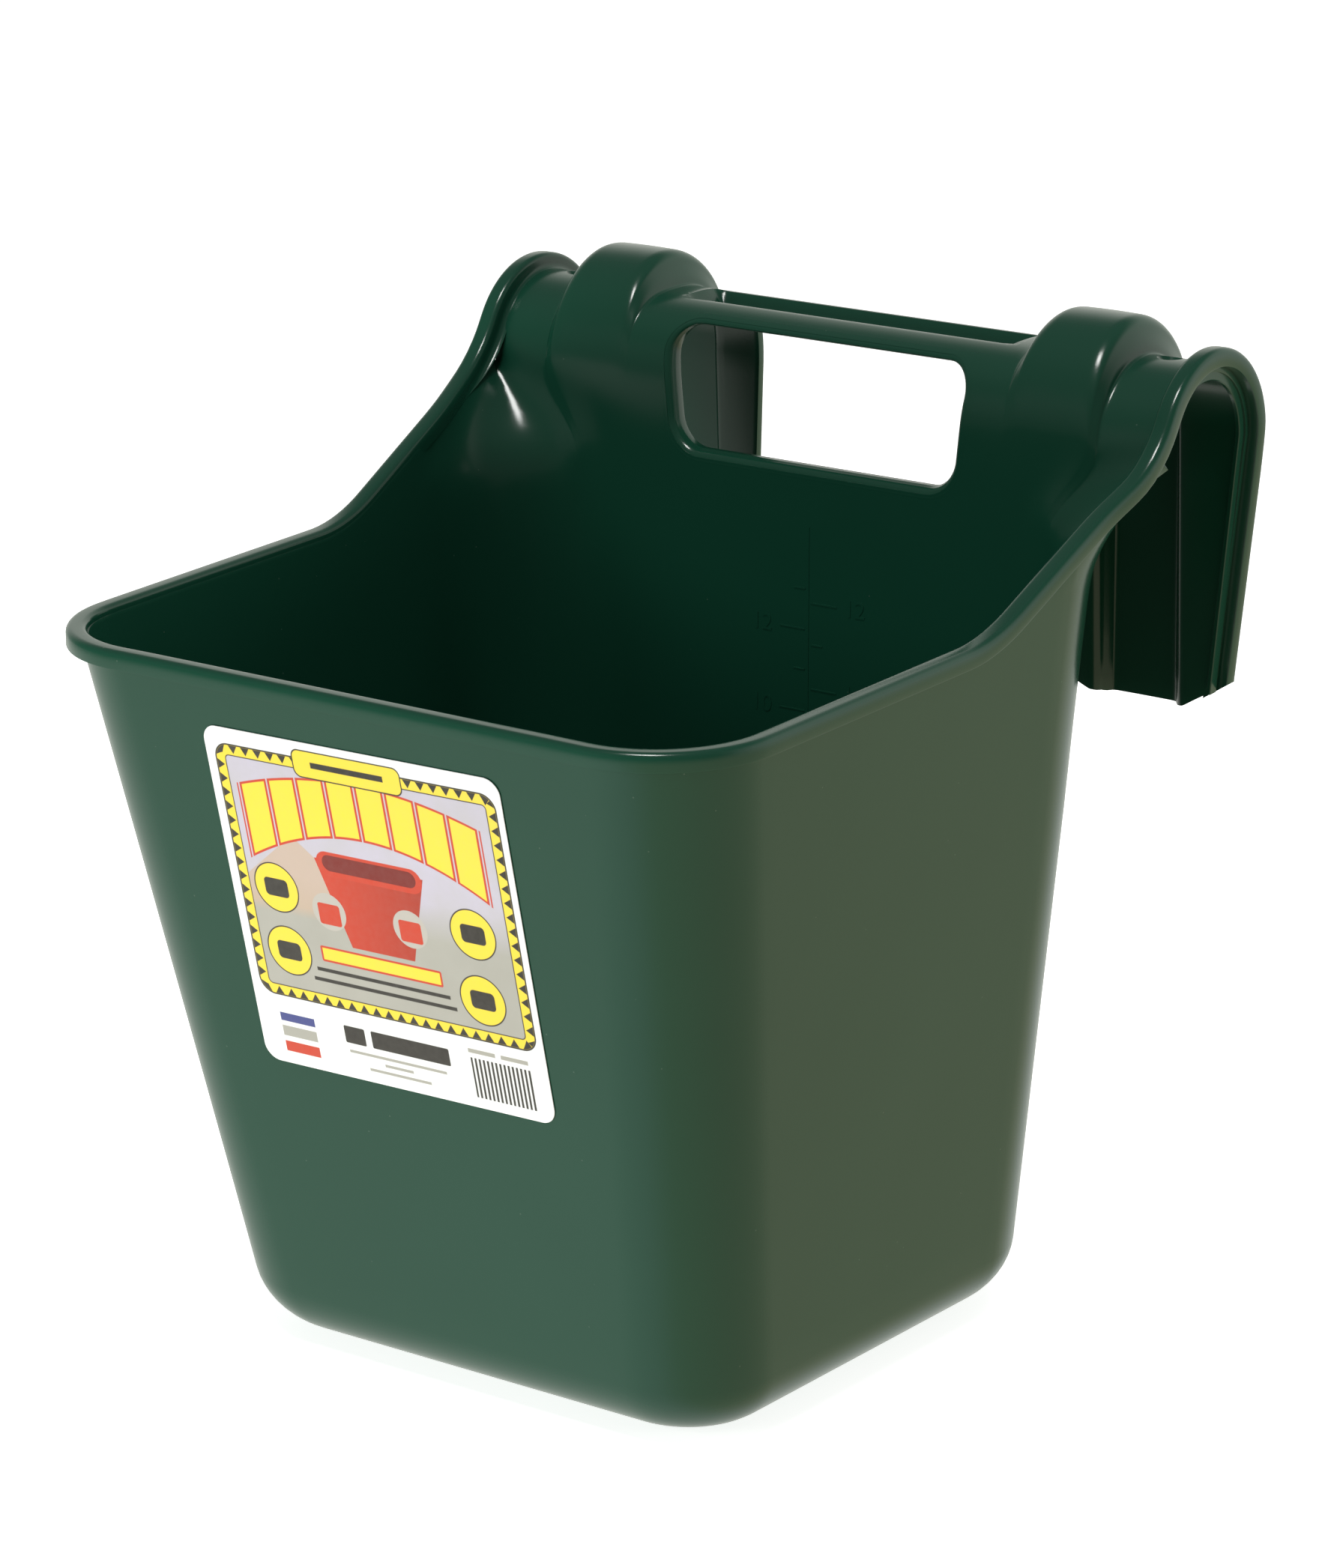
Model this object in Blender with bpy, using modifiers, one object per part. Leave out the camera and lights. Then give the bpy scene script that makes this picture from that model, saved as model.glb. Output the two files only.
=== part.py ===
"""Hook-over feed bucket: one thin-walled plastic moulding with a paper label.

Frame: X runs left to right, -Y is the front, +Y the fence side, +Z up.
The constants are millimetres with y = 0 at the front edge of the base; the
mesh is written in metres with y = 0 half way between rim front and strap back.
"""
import math

import bmesh
import bpy
from mathutils import Vector

MM = 0.001

# Tub
WALL = 3.0
BASE_HALF = 103.5          # half width of the base, at its front edge
BASE_DEPTH = 208.3         # front to back of the base
SIDE_FLARE = 0.029         # the sides open towards the fence
SIDE_DRAFT = 0.122
DRAFT_TWIST = 0.00009      # the side draft eases towards the fence
FRONT_DRAFT = 0.2206       # the front leans out
BACK_DRAFT = 0.0           # the back is upright
FRONT_RADIUS = 36.0
FRONT_RADIUS_GROWTH = 0.0116
BACK_RADIUS = 46.5
BACK_RADIUS_GROWTH = 0.008
BASE_FILLET = 22.0

# Rim line, seen from the side
RIM_FRONT_Z = 260.5
RIM_GENTLE_RISE = 0.0196
RIM_BEND_Y = 108.5
RIM_BEND_LENGTH = 30.0
RIM_INCLINE = 0.493
RIM_OVERHANG = 4.0
BEAD_WIDTH = 7.0
BEAD_HEIGHT = 6.6
BEAD_ROUND = 1.6

# Hooks
ARCH_Y = 236.5             # centre of the arch at the outer end
ARCH_Z = 304.5
ARCH_INNER = 26.5          # radius of the underside at the outer end
SADDLE_TOP = 334.0
RIB_X = 141.5              # stiffening rib under the outer edge of the hook
RIB_WIDTH = 1.8
RIB_HEIGHT = 3.0
RIB_SECTION = ((0.0, 0.0), (RIB_WIDTH, 0.0), (RIB_WIDTH, RIB_HEIGHT + 1.2), (0.0, RIB_HEIGHT + 1.2))
RIDGE_RADIUS = 35.5
RIDGE_X = 148.0
RIDGE_START_Y = 170.0      # the rim starts to spread into the ridge here
HOOK_OUTER_X = 144.0
HOOK_INNER_X = 62.0
SHOULDER_Z = 255.0         # the back corner starts to open into the hook here
LEG_BOTTOM = 200.0
LEG_LEAN = 0.05            # the leg leans away from the wall going down
LEG_OUTER_TAPER = 0.13
LEG_INNER_TAPER = 0.06
LEG_CUT_RISE = 8.5

# Straps that stiffen the hooks
STRAP_X = 99.5
STRAP_HALF = 16.5
STRAP_SIDE = 4.6           # width taken by each side wall
STRAP_FOOT_Z = 309.0
STRAP_TOP_Z = 347.0
STRAP_TOP_Y = 238.0
STRAP_REAR_Y = 276.0
CHANNEL_LEAN = 0.02

# Handle: the saddle carries on between the hooks, with a finger groove along it
WINDOW_HALF = 63.5
WINDOW_BOTTOM = 283.0
WINDOW_TOP = 327.5
WINDOW_RADIUS = 11.0
WINDOW_TAPER = 0.0016       # narrower towards the bottom
WINDOW_LIP = 5.0
LIP_WALL = 2.6
HANDLE_LAST_STEP = 9
GROOVE_DEPTH = 7.0
GROOVE_HALF = 71.0
GROOVE_END = 7.0
SQUARENESS = 0.74          # how boxy the saddle is near the handle

# Screw holes in the saddle
SCREW_HOLE_X = 127.0
SCREW_HOLE_Y = 239.0
SCREW_HOLE_RADIUS = 4.2

# Label on the front
LABEL_WIDTH = 122.5
LABEL_HEIGHT = 126.5
LABEL_Z = 178.3
LABEL_X = -2.0
LABEL_TILT = -1.0          # stuck on slightly askew, degrees
LABEL_THICK = 0.3
LABEL_GAP = 0.3
LABEL_ROUND = 6.0

# Half way between the front of the rim and the back of the straps
MIDDLE_Y = (STRAP_REAR_Y + CHANNEL_LEAN * (ARCH_Z - LEG_BOTTOM)
            - FRONT_DRAFT * RIM_FRONT_Z - RIM_OVERHANG) / 2

FRONT_STEPS = 2
CORNER_STEPS = 7
SIDE_STEPS = 9
FILLET_STEPS = 5
ARCH_STEPS = 14
LEG_STEPS = 3
RIDGE_ANGLE = 45.0


def smooth(t):
    """Smoothstep from 0 to 1."""
    t = max(0.0, min(1.0, t))
    return t * t * (3.0 - 2.0 * t)


def flare(t):
    """How far the shoulder has opened, from its start at 0 to the hook at 1."""
    return smooth((t - 0.4) / 0.6)


def mix(a, b, t):
    return a + (b - a) * t


def half_width(y, z):
    """Outer half width of the tub."""
    return BASE_HALF + SIDE_FLARE * y + z * (SIDE_DRAFT - DRAFT_TWIST * y)


def front_y(z):
    return -FRONT_DRAFT * z


def back_y(z):
    return BASE_DEPTH + BACK_DRAFT * z


def rim_top(y):
    """Height of the rim's top edge at depth y."""
    y0 = front_y(RIM_FRONT_Z)
    gentle = RIM_FRONT_Z + RIM_GENTLE_RISE * (y - y0)
    start = RIM_BEND_Y - RIM_BEND_LENGTH / 2
    extra = RIM_INCLINE - RIM_GENTLE_RISE
    if y <= start:
        return gentle
    if y >= start + RIM_BEND_LENGTH:
        return gentle + extra * (y - RIM_BEND_Y)
    t = y - start
    return gentle + extra * t * t / (2 * RIM_BEND_LENGTH)


def front_corner(z, inset):
    """Centre and radius of the front corner at height z."""
    radius = max(FRONT_RADIUS + FRONT_RADIUS_GROWTH * z - inset, 2.0)
    cy = front_y(z) + inset + radius
    return half_width(cy, z) - inset - radius, cy, radius


def back_corner(z, inset):
    radius = max(BACK_RADIUS + BACK_RADIUS_GROWTH * z - inset, 2.0)
    cy = back_y(z) - inset - radius
    return half_width(cy, z) - inset - radius, cy, radius


def column_list():
    """The kinds of column that run up the half wall, front middle to back middle."""
    columns = []
    for i in range(FRONT_STEPS):
        columns.append(("front", i / FRONT_STEPS))
    for i in range(CORNER_STEPS):
        columns.append(("front_arc", 90.0 * i / CORNER_STEPS))
    for i in range(SIDE_STEPS):
        columns.append(("side", i / SIDE_STEPS))
    arc_steps = 5
    for i in range(arc_steps):
        columns.append(("back_arc", RIDGE_ANGLE * i / arc_steps))
    for x in hook_stations():
        columns.append(("hook", x))
    for x in (42.0, 21.0, 0.0):
        columns.append(("back", x))
    return columns


def hook_stations():
    """X positions across the hook, from its outer edge to its inner edge."""
    stations = [HOOK_OUTER_X, 137.0, 129.0]
    flank = [STRAP_HALF + 3.5, STRAP_HALF + 1.2, STRAP_HALF, STRAP_HALF - 1.3,
             STRAP_HALF - 2.7, STRAP_HALF - 4.0, STRAP_HALF - 5.5, STRAP_HALF - 8.5]
    for d in flank:
        stations.append(STRAP_X + d)
    stations.append(STRAP_X)
    for d in reversed(flank):
        stations.append(STRAP_X - d)
    stations.append(68.0)
    stations.append(HOOK_INNER_X)
    return stations


def plan_point(column, z, inset):
    """Outer wall point of a column at height z."""
    kind, value = column
    if kind == "front":
        cx, cy, radius = front_corner(z, inset)
        return cx * value, front_y(z) + inset
    if kind == "front_arc":
        cx, cy, radius = front_corner(z, inset)
        a = math.radians(value - 90.0)
        return cx + radius * math.cos(a), cy + radius * math.sin(a)
    if kind == "side":
        y0 = front_corner(z, inset)[1]
        y1 = back_corner(z, inset)[1]
        y = mix(y0, y1, value)
        return half_width(y, z) - inset, y
    cx, cy, radius = back_corner(z, inset)
    if kind == "back_arc":
        a = math.radians(value)
        return cx + radius * math.cos(a), cy + radius * math.sin(a)
    if kind == "hook":
        x = corner_station(value, cx, radius)
        reach = min(max((x - cx) / radius, 0.0), 1.0)
        return x, cy + radius * math.sqrt(1.0 - reach * reach)
    return value * min(1.0, cx / 62.0), back_y(z) - inset


def corner_station(x, cx, radius):
    """Where a hook column meets the wall below the hook."""
    edge = cx + radius * math.cos(math.radians(RIDGE_ANGLE))
    t = (x - HOOK_INNER_X) / (HOOK_OUTER_X - HOOK_INNER_X)
    low = min(HOOK_INNER_X, cx)
    return mix(low, edge, t)


def arch_shape(x):
    """Centre y, centre z and underside radius of the arch at x."""
    wall = ARCH_Y - ARCH_INNER
    flat = back_y(ARCH_Z)
    y_wall = mix(flat, wall, smooth((x - 90.0) / (HOOK_OUTER_X - 90.0)))
    leg = ARCH_Y + ARCH_INNER
    radius = (leg - y_wall) / 2
    return (leg + y_wall) / 2, SADDLE_TOP - WALL - radius, radius


def strap_profile(x):
    """0 beside the strap, 1 on top of it."""
    d = abs(x - STRAP_X)
    t = (STRAP_HALF + 0.6 - d) / STRAP_SIDE
    crown = 1.0 - 0.06 * min(1.0, (d / STRAP_HALF)) ** 2
    return smooth(t) * crown


def strap_skin(angle):
    """Underside point of the strap over the arch; angle 180 is the wall side."""
    a = math.radians(angle)
    front = back_y(STRAP_FOOT_Z)
    rear = STRAP_REAR_Y - WALL
    span = STRAP_TOP_Y - front if angle > 90.0 else rear - STRAP_TOP_Y
    height = STRAP_TOP_Z - WALL - STRAP_FOOT_Z
    return STRAP_TOP_Y + span * math.cos(a), STRAP_FOOT_Z + height * math.sin(a)


def arch_point(x, step):
    """Underside point on the arch at one of its steps."""
    cy, cz, radius = arch_shape(x)
    angle = 180.0 - 180.0 * step / ARCH_STEPS
    a = math.radians(angle)
    power = mix(SQUARENESS, 1.0, smooth((x - 84.0) / 30.0))
    y = cy + radius * math.copysign(abs(math.cos(a)) ** power, math.cos(a))
    z = cz + radius * abs(math.sin(a)) ** power
    if 90.0 - angle < 40.0 and angle - 90.0 < 20.0:
        z -= groove_depth(x, step)
    sy, sz = strap_skin(angle)
    t = strap_profile(x)
    return Vector((x, mix(y, sy, t), mix(z, sz, t)))


def groove_depth(x, step):
    """The finger groove dips over the steps around the crown."""
    middle = ARCH_STEPS // 2
    if abs(step - middle) > 1:
        return 0.0
    return GROOVE_DEPTH * smooth((GROOVE_HALF - x) / GROOVE_END)


def leg_front(x, z):
    """Y of the leg's wall-side face."""
    panel = ARCH_Y + ARCH_INNER + LEG_LEAN * (ARCH_Z - z)
    channel = STRAP_REAR_Y - WALL + CHANNEL_LEAN * (ARCH_Z - z)
    return mix(panel, channel, strap_profile(x))


def leg_x(x, z):
    """A hook column's x lower down, where the leg narrows on both edges."""
    drop = max(0.0, ARCH_Z - z)
    if x > STRAP_X + STRAP_HALF + 2.0:
        edge = STRAP_X + STRAP_HALF + 2.0
        t = (x - edge) / (HOOK_OUTER_X - edge)
        return x - LEG_OUTER_TAPER * drop * t
    if x < STRAP_X - STRAP_HALF - 2.0:
        edge = STRAP_X - STRAP_HALF - 2.0
        t = (edge - x) / (edge - HOOK_INNER_X)
        return x + LEG_INNER_TAPER * drop * t
    return x


def leg_bottom(x):
    """The leg's lower edge is cut up towards both of its sides."""
    d = abs(x - STRAP_X) - STRAP_HALF - 1.0
    span = HOOK_OUTER_X - STRAP_X - STRAP_HALF - 1.0
    return LEG_BOTTOM + LEG_CUT_RISE * max(0.0, d) / span


def column_points(column):
    """All outer-skin points of a column, bottom to top."""
    kind, value = column
    points = []
    for i in range(FILLET_STEPS + 1):
        a = math.radians(90.0 * i / FILLET_STEPS)
        z = BASE_FILLET * (1.0 - math.cos(a))
        x, y = plan_point(column, z, BASE_FILLET * (1.0 - math.sin(a)))
        points.append(Vector((x, y, z)))
    for z in (80.0, 165.0):
        x, y = plan_point(column, z, 0.0)
        points.append(Vector((x, y, z)))
    if kind in ("hook", "back"):
        points += upper_wall(column)
        points += hook_points(value, kind == "hook")
        return points
    y_top = rim_depth(column)
    z_top = rim_top(y_top)
    low = SHOULDER_Z if kind == "back_arc" else z_top - 20.0
    for t in (0.0, 0.3, 0.62, 1.0):
        z = mix(low, z_top - 3.0, t)
        x, y = plan_point(column, z, 0.0)
        if kind == "back_arc":
            x = mix(x, rim_x(y_top, z_top) - RIM_OVERHANG, flare(t))
            y = mix(y, y_top, flare(t))
        points.append(Vector((x, y, z)))
    return points


def rim_x(y, z):
    """Outer face of the rim bead, which spreads into the ridge of the hook."""
    return mix(half_width(y, z) + RIM_OVERHANG, RIDGE_X, smooth((y - RIDGE_START_Y) / 30.0))


def rim_depth(column):
    """Depth at which a column meets the rim line."""
    if column[0] == "back_arc":
        return mix(back_corner(rim_top(160.0), 0.0)[1], ARCH_Y - ARCH_INNER, column[1] / RIDGE_ANGLE)
    z = RIM_FRONT_Z
    for _ in range(12):
        y = plan_point(column, z, 0.0)[1]
        z = rim_top(y)
    return y


def upper_wall(column):
    """Wall points between the shoulder and the start of the arch."""
    kind, value = column
    x0, y0 = plan_point(column, SHOULDER_Z, 0.0)
    points = [Vector((x0, y0, SHOULDER_Z))]
    start = arch_point(value, 0)
    for t in (0.3, 0.62):
        s = flare(t)
        z = mix(SHOULDER_Z, start.z, t)
        points.append(Vector((mix(x0, start.x, s), mix(y0, start.y, s), z)))
    points.append(start)
    return points


def hook_points(x, has_leg):
    """Points over the saddle, and down the leg where there is one."""
    points = []
    last = ARCH_STEPS if has_leg else HANDLE_LAST_STEP
    for step in range(1, last + 1):
        points.append(arch_point(x, step))
    if not has_leg:
        return points
    top = points[-1].z
    for i in range(1, LEG_STEPS + 1):
        z = mix(top, leg_bottom(x), i / LEG_STEPS)
        points.append(Vector((leg_x(x, z), leg_front(x, z), z)))
    return points


def new_object(name, collection, mesh):
    obj = bpy.data.objects.new(name, mesh)
    collection.objects.link(obj)
    return obj


def write_mesh(name, bm):
    mesh = bpy.data.meshes.new(name)
    bm.to_mesh(mesh)
    bm.free()
    return mesh


def mesh_from(name, bm):
    """The mesh of a closed body, with its faces pointing out."""
    bmesh.ops.recalc_face_normals(bm, faces=bm.faces)
    return write_mesh(name, bm)


def scaled(v):
    """A point in the construction frame, in metres in the part's frame."""
    return (Vector(v) - Vector((0.0, MIDDLE_Y, 0.0))) * MM


def skin_mesh():
    """Open outer skin of the right half: tub wall, base and hook."""
    bm = bmesh.new()
    grid = []
    for column in column_list():
        points = column_points(column)
        if column[0] in ("front", "back") and column[1] == 0:
            points = [Vector((0.0, p.y, p.z)) for p in points]
        grid.append([bm.verts.new(scaled(p)) for p in points])
    for left, right in zip(grid, grid[1:]):
        for r in range(min(len(left), len(right)) - 1):
            bm.faces.new((left[r], left[r + 1], right[r + 1], right[r]))
    base = bm.faces.new([col[0] for col in grid])
    bmesh.ops.recalc_face_normals(bm, faces=bm.faces)
    base.normal_update()
    if base.normal.z > 0.0:
        bmesh.ops.reverse_faces(bm, faces=bm.faces)
    return write_mesh("moulding_skin", bm)


def rim_path():
    """Outer top edge of the rim bead: front, side, over the hook, down the leg."""
    points = []
    cx, cy, radius = front_corner(RIM_FRONT_Z, 0.0)
    y0 = front_y(RIM_FRONT_Z) - RIM_OVERHANG
    for t in (0.0, 0.5):
        points.append(((cx * t, y0, RIM_FRONT_Z), (0.0, -1.0, 0.0)))
    reach = radius + RIM_OVERHANG
    for i in range(CORNER_STEPS + 1):
        a = math.radians(90.0 * i / CORNER_STEPS - 90.0)
        y = cy + reach * math.sin(a)
        spot = (cx + reach * math.cos(a), y, rim_top(y))
        points.append((spot, (math.cos(a), math.sin(a), 0.0)))
    side = (1.0, 0.0, 0.0)
    meet = arch_meeting()
    steps = 16
    for i in range(1, steps + 1):
        y = mix(cy, meet[0] - 6.0, i / steps)
        z = rim_top(y)
        points.append(((rim_x(y, z), y, z), side))
    first = meet[2] - 9.0
    for i in range(17):
        a = math.radians(mix(first, 0.0, i / 16))
        y = ARCH_Y + RIDGE_RADIUS * math.cos(a)
        z = ARCH_Z + RIDGE_RADIUS * math.sin(a)
        points.append(((RIDGE_X, y, z), side))
    bottom = LEG_BOTTOM + LEG_CUT_RISE
    for i in range(1, 4):
        z = mix(ARCH_Z, bottom, i / 3)
        drop = ARCH_Z - z
        x = RIDGE_X - LEG_OUTER_TAPER * drop
        y = ARCH_Y + RIDGE_RADIUS + LEG_LEAN * drop
        points.append(((x, y, z), side))
    return points


def rib_path():
    """Lower edge of the rib under the hook's outer edge, over the arch and down the leg."""
    side = (1.0, 0.0, 0.0)
    points = []
    for i in range(17):
        a = math.radians(mix(140.0, 0.0, i / 16))
        reach = ARCH_INNER - mix(0.3, RIB_HEIGHT, min(1.0, i / 4))
        points.append(((RIB_X, ARCH_Y + reach * math.cos(a), ARCH_Z + reach * math.sin(a)), side))
    bottom = leg_bottom(RIB_X)
    for i in range(1, 4):
        z = mix(ARCH_Z, bottom, i / 3)
        points.append(((leg_x(RIB_X, z), leg_front(RIB_X, z) - RIB_HEIGHT, z), side))
    return points


def arch_meeting():
    """Where the inclined rim line runs into the ridge's arc: y, z, angle."""
    for k in range(1800, 900, -1):
        a = math.radians(k / 10)
        y = ARCH_Y + RIDGE_RADIUS * math.cos(a)
        z = ARCH_Z + RIDGE_RADIUS * math.sin(a)
        if z >= rim_top(y):
            return y, z, k / 10
    return ARCH_Y, ARCH_Z + RIDGE_RADIUS, 90.0


def bead_section(width, height, rounding):
    """Points (outward, up) of the bead's section, its outer top corner at 0, 0."""
    section = [(-width, -height), (0.0, -height)]
    for i in range(4):
        a = math.radians(30.0 * i)
        section.append((rounding * (math.cos(a) - 1.0), rounding * (math.sin(a) - 1.0)))
    inner = rounding * 1.2
    for i in range(4):
        a = math.radians(90.0 + 30.0 * i)
        section.append((-width + inner * (1.0 + math.cos(a)), inner * (math.sin(a) - 1.0)))
    return section


def sweep_mesh(name, path, section, open_start):
    """Loft a section along a path of (point, outward) pairs."""
    bm = bmesh.new()
    rings = []
    for i, (spot, outward) in enumerate(path):
        before = Vector(path[max(i - 1, 0)][0])
        after = Vector(path[min(i + 1, len(path) - 1)][0])
        along = (after - before).normalized()
        out = Vector(outward)
        up = out.cross(along).normalized()
        if i == 0 and open_start:
            up = Vector((0.0, 0.0, 1.0))
        ring = []
        for o, u in section:
            ring.append(bm.verts.new(scaled(Vector(spot) + out * o + up * u)))
        rings.append(ring)
    count = len(section)
    for a, b in zip(rings, rings[1:]):
        for k in range(count):
            n = (k + 1) % count
            bm.faces.new((a[k], a[n], b[n], b[k]))
    bm.faces.new(rings[-1])
    if not open_start:
        bm.faces.new(rings[0])
    return mesh_from(name, bm)


def mirrored(obj):
    mirror = obj.modifiers.new("Mirror", "MIRROR")
    mirror.use_axis[0] = True
    mirror.merge_threshold = 0.0001
    return obj


def rounded_rectangle(half, low, high, radius, steps):
    """Outline points (x, z) of a rounded rectangle about x = 0."""
    points = []
    for cx, cz, start in ((half - radius, high - radius, 0.0), (radius - half, high - radius, 90.0),
                          (radius - half, low + radius, 180.0), (half - radius, low + radius, 270.0)):
        for i in range(steps + 1):
            a = math.radians(start + 90.0 * i / steps)
            points.append((cx + radius * math.cos(a), cz + radius * math.sin(a)))
    return points


def tapered(outline):
    """The window's outline, drawn in towards its bottom."""
    return [(x * (1.0 - WINDOW_TAPER * (WINDOW_TOP - z)), z) for x, z in outline]


def prism(name, outline, y0, y1):
    """A closed prism along Y from an (x, z) outline, in metres about its own origin."""
    bm = bmesh.new()
    front = [bm.verts.new(Vector((x, y0, z)) * MM) for x, z in outline]
    face = bm.faces.new(front)
    moved = bmesh.ops.extrude_face_region(bm, geom=[face])["geom"]
    verts = [g for g in moved if isinstance(g, bmesh.types.BMVert)]
    bmesh.ops.translate(bm, verts=verts, vec=Vector((0.0, y1 - y0, 0.0)) * MM)
    return mesh_from(name, bm)


def lip_mesh():
    """Ring that lines the handle window and reaches back from the wall."""
    outer = rounded_rectangle(WINDOW_HALF + LIP_WALL, WINDOW_BOTTOM - LIP_WALL,
                              WINDOW_TOP + LIP_WALL, WINDOW_RADIUS + LIP_WALL, 5)
    return prism("window_lip", tapered(outer), -1.0, WINDOW_LIP)


def screw_hole_mesh(name):
    """Upright round cutter for the screw hole beside a strap."""
    bm = bmesh.new()
    bmesh.ops.create_cone(bm, cap_ends=True, segments=20, radius1=SCREW_HOLE_RADIUS * MM,
                          radius2=SCREW_HOLE_RADIUS * MM, depth=14.0 * MM)
    return mesh_from(name, bm)


def add_boolean(obj, tool, operation):
    mod = obj.modifiers.new(tool.name, "BOOLEAN")
    mod.operation = operation
    mod.solver = "EXACT"
    mod.object = tool


def hide_tool(obj):
    obj.hide_render = True
    obj.display_type = "WIRE"
    return obj


def build_moulding(collection, cutters):
    obj = mirrored(new_object("feeder_moulding", collection, skin_mesh()))
    solid = obj.modifiers.new("Wall", "SOLIDIFY")
    solid.thickness = WALL * MM
    solid.offset = -1.0
    solid.use_even_offset = True
    solid.use_quality_normals = True
    section = bead_section(BEAD_WIDTH, BEAD_HEIGHT, BEAD_ROUND)
    bead = mirrored(new_object("rim_bead", cutters, sweep_mesh("rim_bead", rim_path(), section, True)))
    add_boolean(obj, hide_tool(bead), "UNION")
    rib = mirrored(new_object("hook_rib", cutters, sweep_mesh("hook_rib", rib_path(), RIB_SECTION, False)))
    add_boolean(obj, hide_tool(rib), "UNION")
    wall = back_y(WINDOW_TOP)
    lip = hide_tool(new_object("window_lip", cutters, lip_mesh()))
    lip.location = scaled((0.0, wall, 0.0))
    add_boolean(obj, lip, "UNION")
    window = rounded_rectangle(WINDOW_HALF, WINDOW_BOTTOM, WINDOW_TOP, WINDOW_RADIUS, 5)
    hole = hide_tool(new_object("window", cutters, prism("window", tapered(window), -20.0, WINDOW_LIP + 1.0)))
    hole.location = scaled((0.0, wall, 0.0))
    add_boolean(obj, hole, "DIFFERENCE")
    for side in (-1, 1):
        name = "screw_hole_" + ("left" if side < 0 else "right")
        hole = hide_tool(new_object(name, cutters, screw_hole_mesh(name)))
        hole.location = scaled((side * SCREW_HOLE_X, SCREW_HOLE_Y, SADDLE_TOP - 2.0))
        add_boolean(obj, hole, "DIFFERENCE")
    return obj


def build_label(collection):
    """Thin rounded sheet on the sloping front wall."""
    half = LABEL_WIDTH / 2
    outline = rounded_rectangle(half, -LABEL_HEIGHT / 2, LABEL_HEIGHT / 2, LABEL_ROUND, 5)
    mesh = prism("front_label", outline, -LABEL_THICK, 0.0)
    obj = new_object("front_label", collection, mesh)
    slope = math.atan(FRONT_DRAFT)
    obj.rotation_mode = "YXZ"
    obj.rotation_euler = (slope, math.radians(LABEL_TILT), 0.0)
    gap = LABEL_GAP / math.cos(slope)
    obj.location = scaled((LABEL_X, front_y(LABEL_Z) - gap, LABEL_Z))
    return obj


def add_material(obj, name, colour, roughness):
    material = bpy.data.materials.new(name)
    material.use_nodes = True
    shader = material.node_tree.nodes["Principled BSDF"]
    shader.inputs["Base Color"].default_value = (*colour, 1.0)
    shader.inputs["Roughness"].default_value = roughness
    shader.inputs["Metallic"].default_value = 0.0
    material.diffuse_color = (*colour, 1.0)
    obj.data.materials.append(material)


def shade(obj):
    obj.data.shade_smooth()
    obj.data.set_sharp_from_angle(angle=math.radians(40.0))


def clear_scene():
    for obj in list(bpy.data.objects):
        bpy.data.objects.remove(obj, do_unlink=True)


def main():
    clear_scene()
    collection = bpy.data.collections.new("Feed bucket")
    bpy.context.scene.collection.children.link(collection)
    cutters = bpy.data.collections.new("Cutters")
    bpy.context.scene.collection.children.link(cutters)
    moulding = build_moulding(collection, cutters)
    shade(moulding)
    add_material(moulding, "green_plastic", (0.02, 0.11, 0.06), 0.25)
    label = build_label(collection)
    add_material(label, "printed_label", (0.8, 0.78, 0.68), 0.35)


main()
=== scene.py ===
"""Looks of the hook-over feed bucket: fine moulding, glossy green plastic, printed label.

Frame: X runs left to right, -Y is the front, +Y the fence side, +Z up.
Shapes are worked out in millimetres with y = 0 at the front edge of the base,
as in the part's source, and written in metres in the part's frame.
"""
import math

import bmesh
import bpy
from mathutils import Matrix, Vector


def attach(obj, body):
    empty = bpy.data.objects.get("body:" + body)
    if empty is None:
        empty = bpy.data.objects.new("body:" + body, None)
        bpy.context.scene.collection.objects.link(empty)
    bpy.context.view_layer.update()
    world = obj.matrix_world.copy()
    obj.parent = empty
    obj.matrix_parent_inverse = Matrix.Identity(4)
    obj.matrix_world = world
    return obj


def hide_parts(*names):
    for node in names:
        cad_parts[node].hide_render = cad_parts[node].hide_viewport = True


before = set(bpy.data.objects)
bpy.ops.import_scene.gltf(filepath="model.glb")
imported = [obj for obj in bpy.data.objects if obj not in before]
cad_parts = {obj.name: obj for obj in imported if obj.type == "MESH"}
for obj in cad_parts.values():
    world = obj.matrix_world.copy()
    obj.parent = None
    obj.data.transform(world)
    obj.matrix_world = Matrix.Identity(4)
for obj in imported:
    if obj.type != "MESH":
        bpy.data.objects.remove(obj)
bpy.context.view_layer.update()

MM = 0.001

# Tub
WALL = 3.0
BASE_HALF = 103.5          # half width of the base, at its front edge
BASE_DEPTH = 208.3         # front to back of the base
SIDE_FLARE = 0.029         # the sides open towards the fence
SIDE_DRAFT = 0.122
DRAFT_TWIST = 0.00009      # the side draft eases towards the fence
FRONT_DRAFT = 0.2206       # the front leans out
BACK_DRAFT = 0.0           # the back is upright
FRONT_RADIUS = 36.0
FRONT_RADIUS_GROWTH = 0.0116
BACK_RADIUS = 46.5
BACK_RADIUS_GROWTH = 0.008
BASE_FILLET = 22.0

# Rim line, seen from the side
RIM_FRONT_Z = 260.5
RIM_GENTLE_RISE = 0.0196
RIM_BEND_Y = 108.5
RIM_BEND_LENGTH = 30.0
RIM_INCLINE = 0.493
RIM_OVERHANG = 4.0
BEAD_WIDTH = 7.3
BEAD_HEIGHT = 6.6
BEAD_ROUND = 2.2
BEAD_FLARE = 2.6           # hollow fillet between the ridge and the saddle

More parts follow.
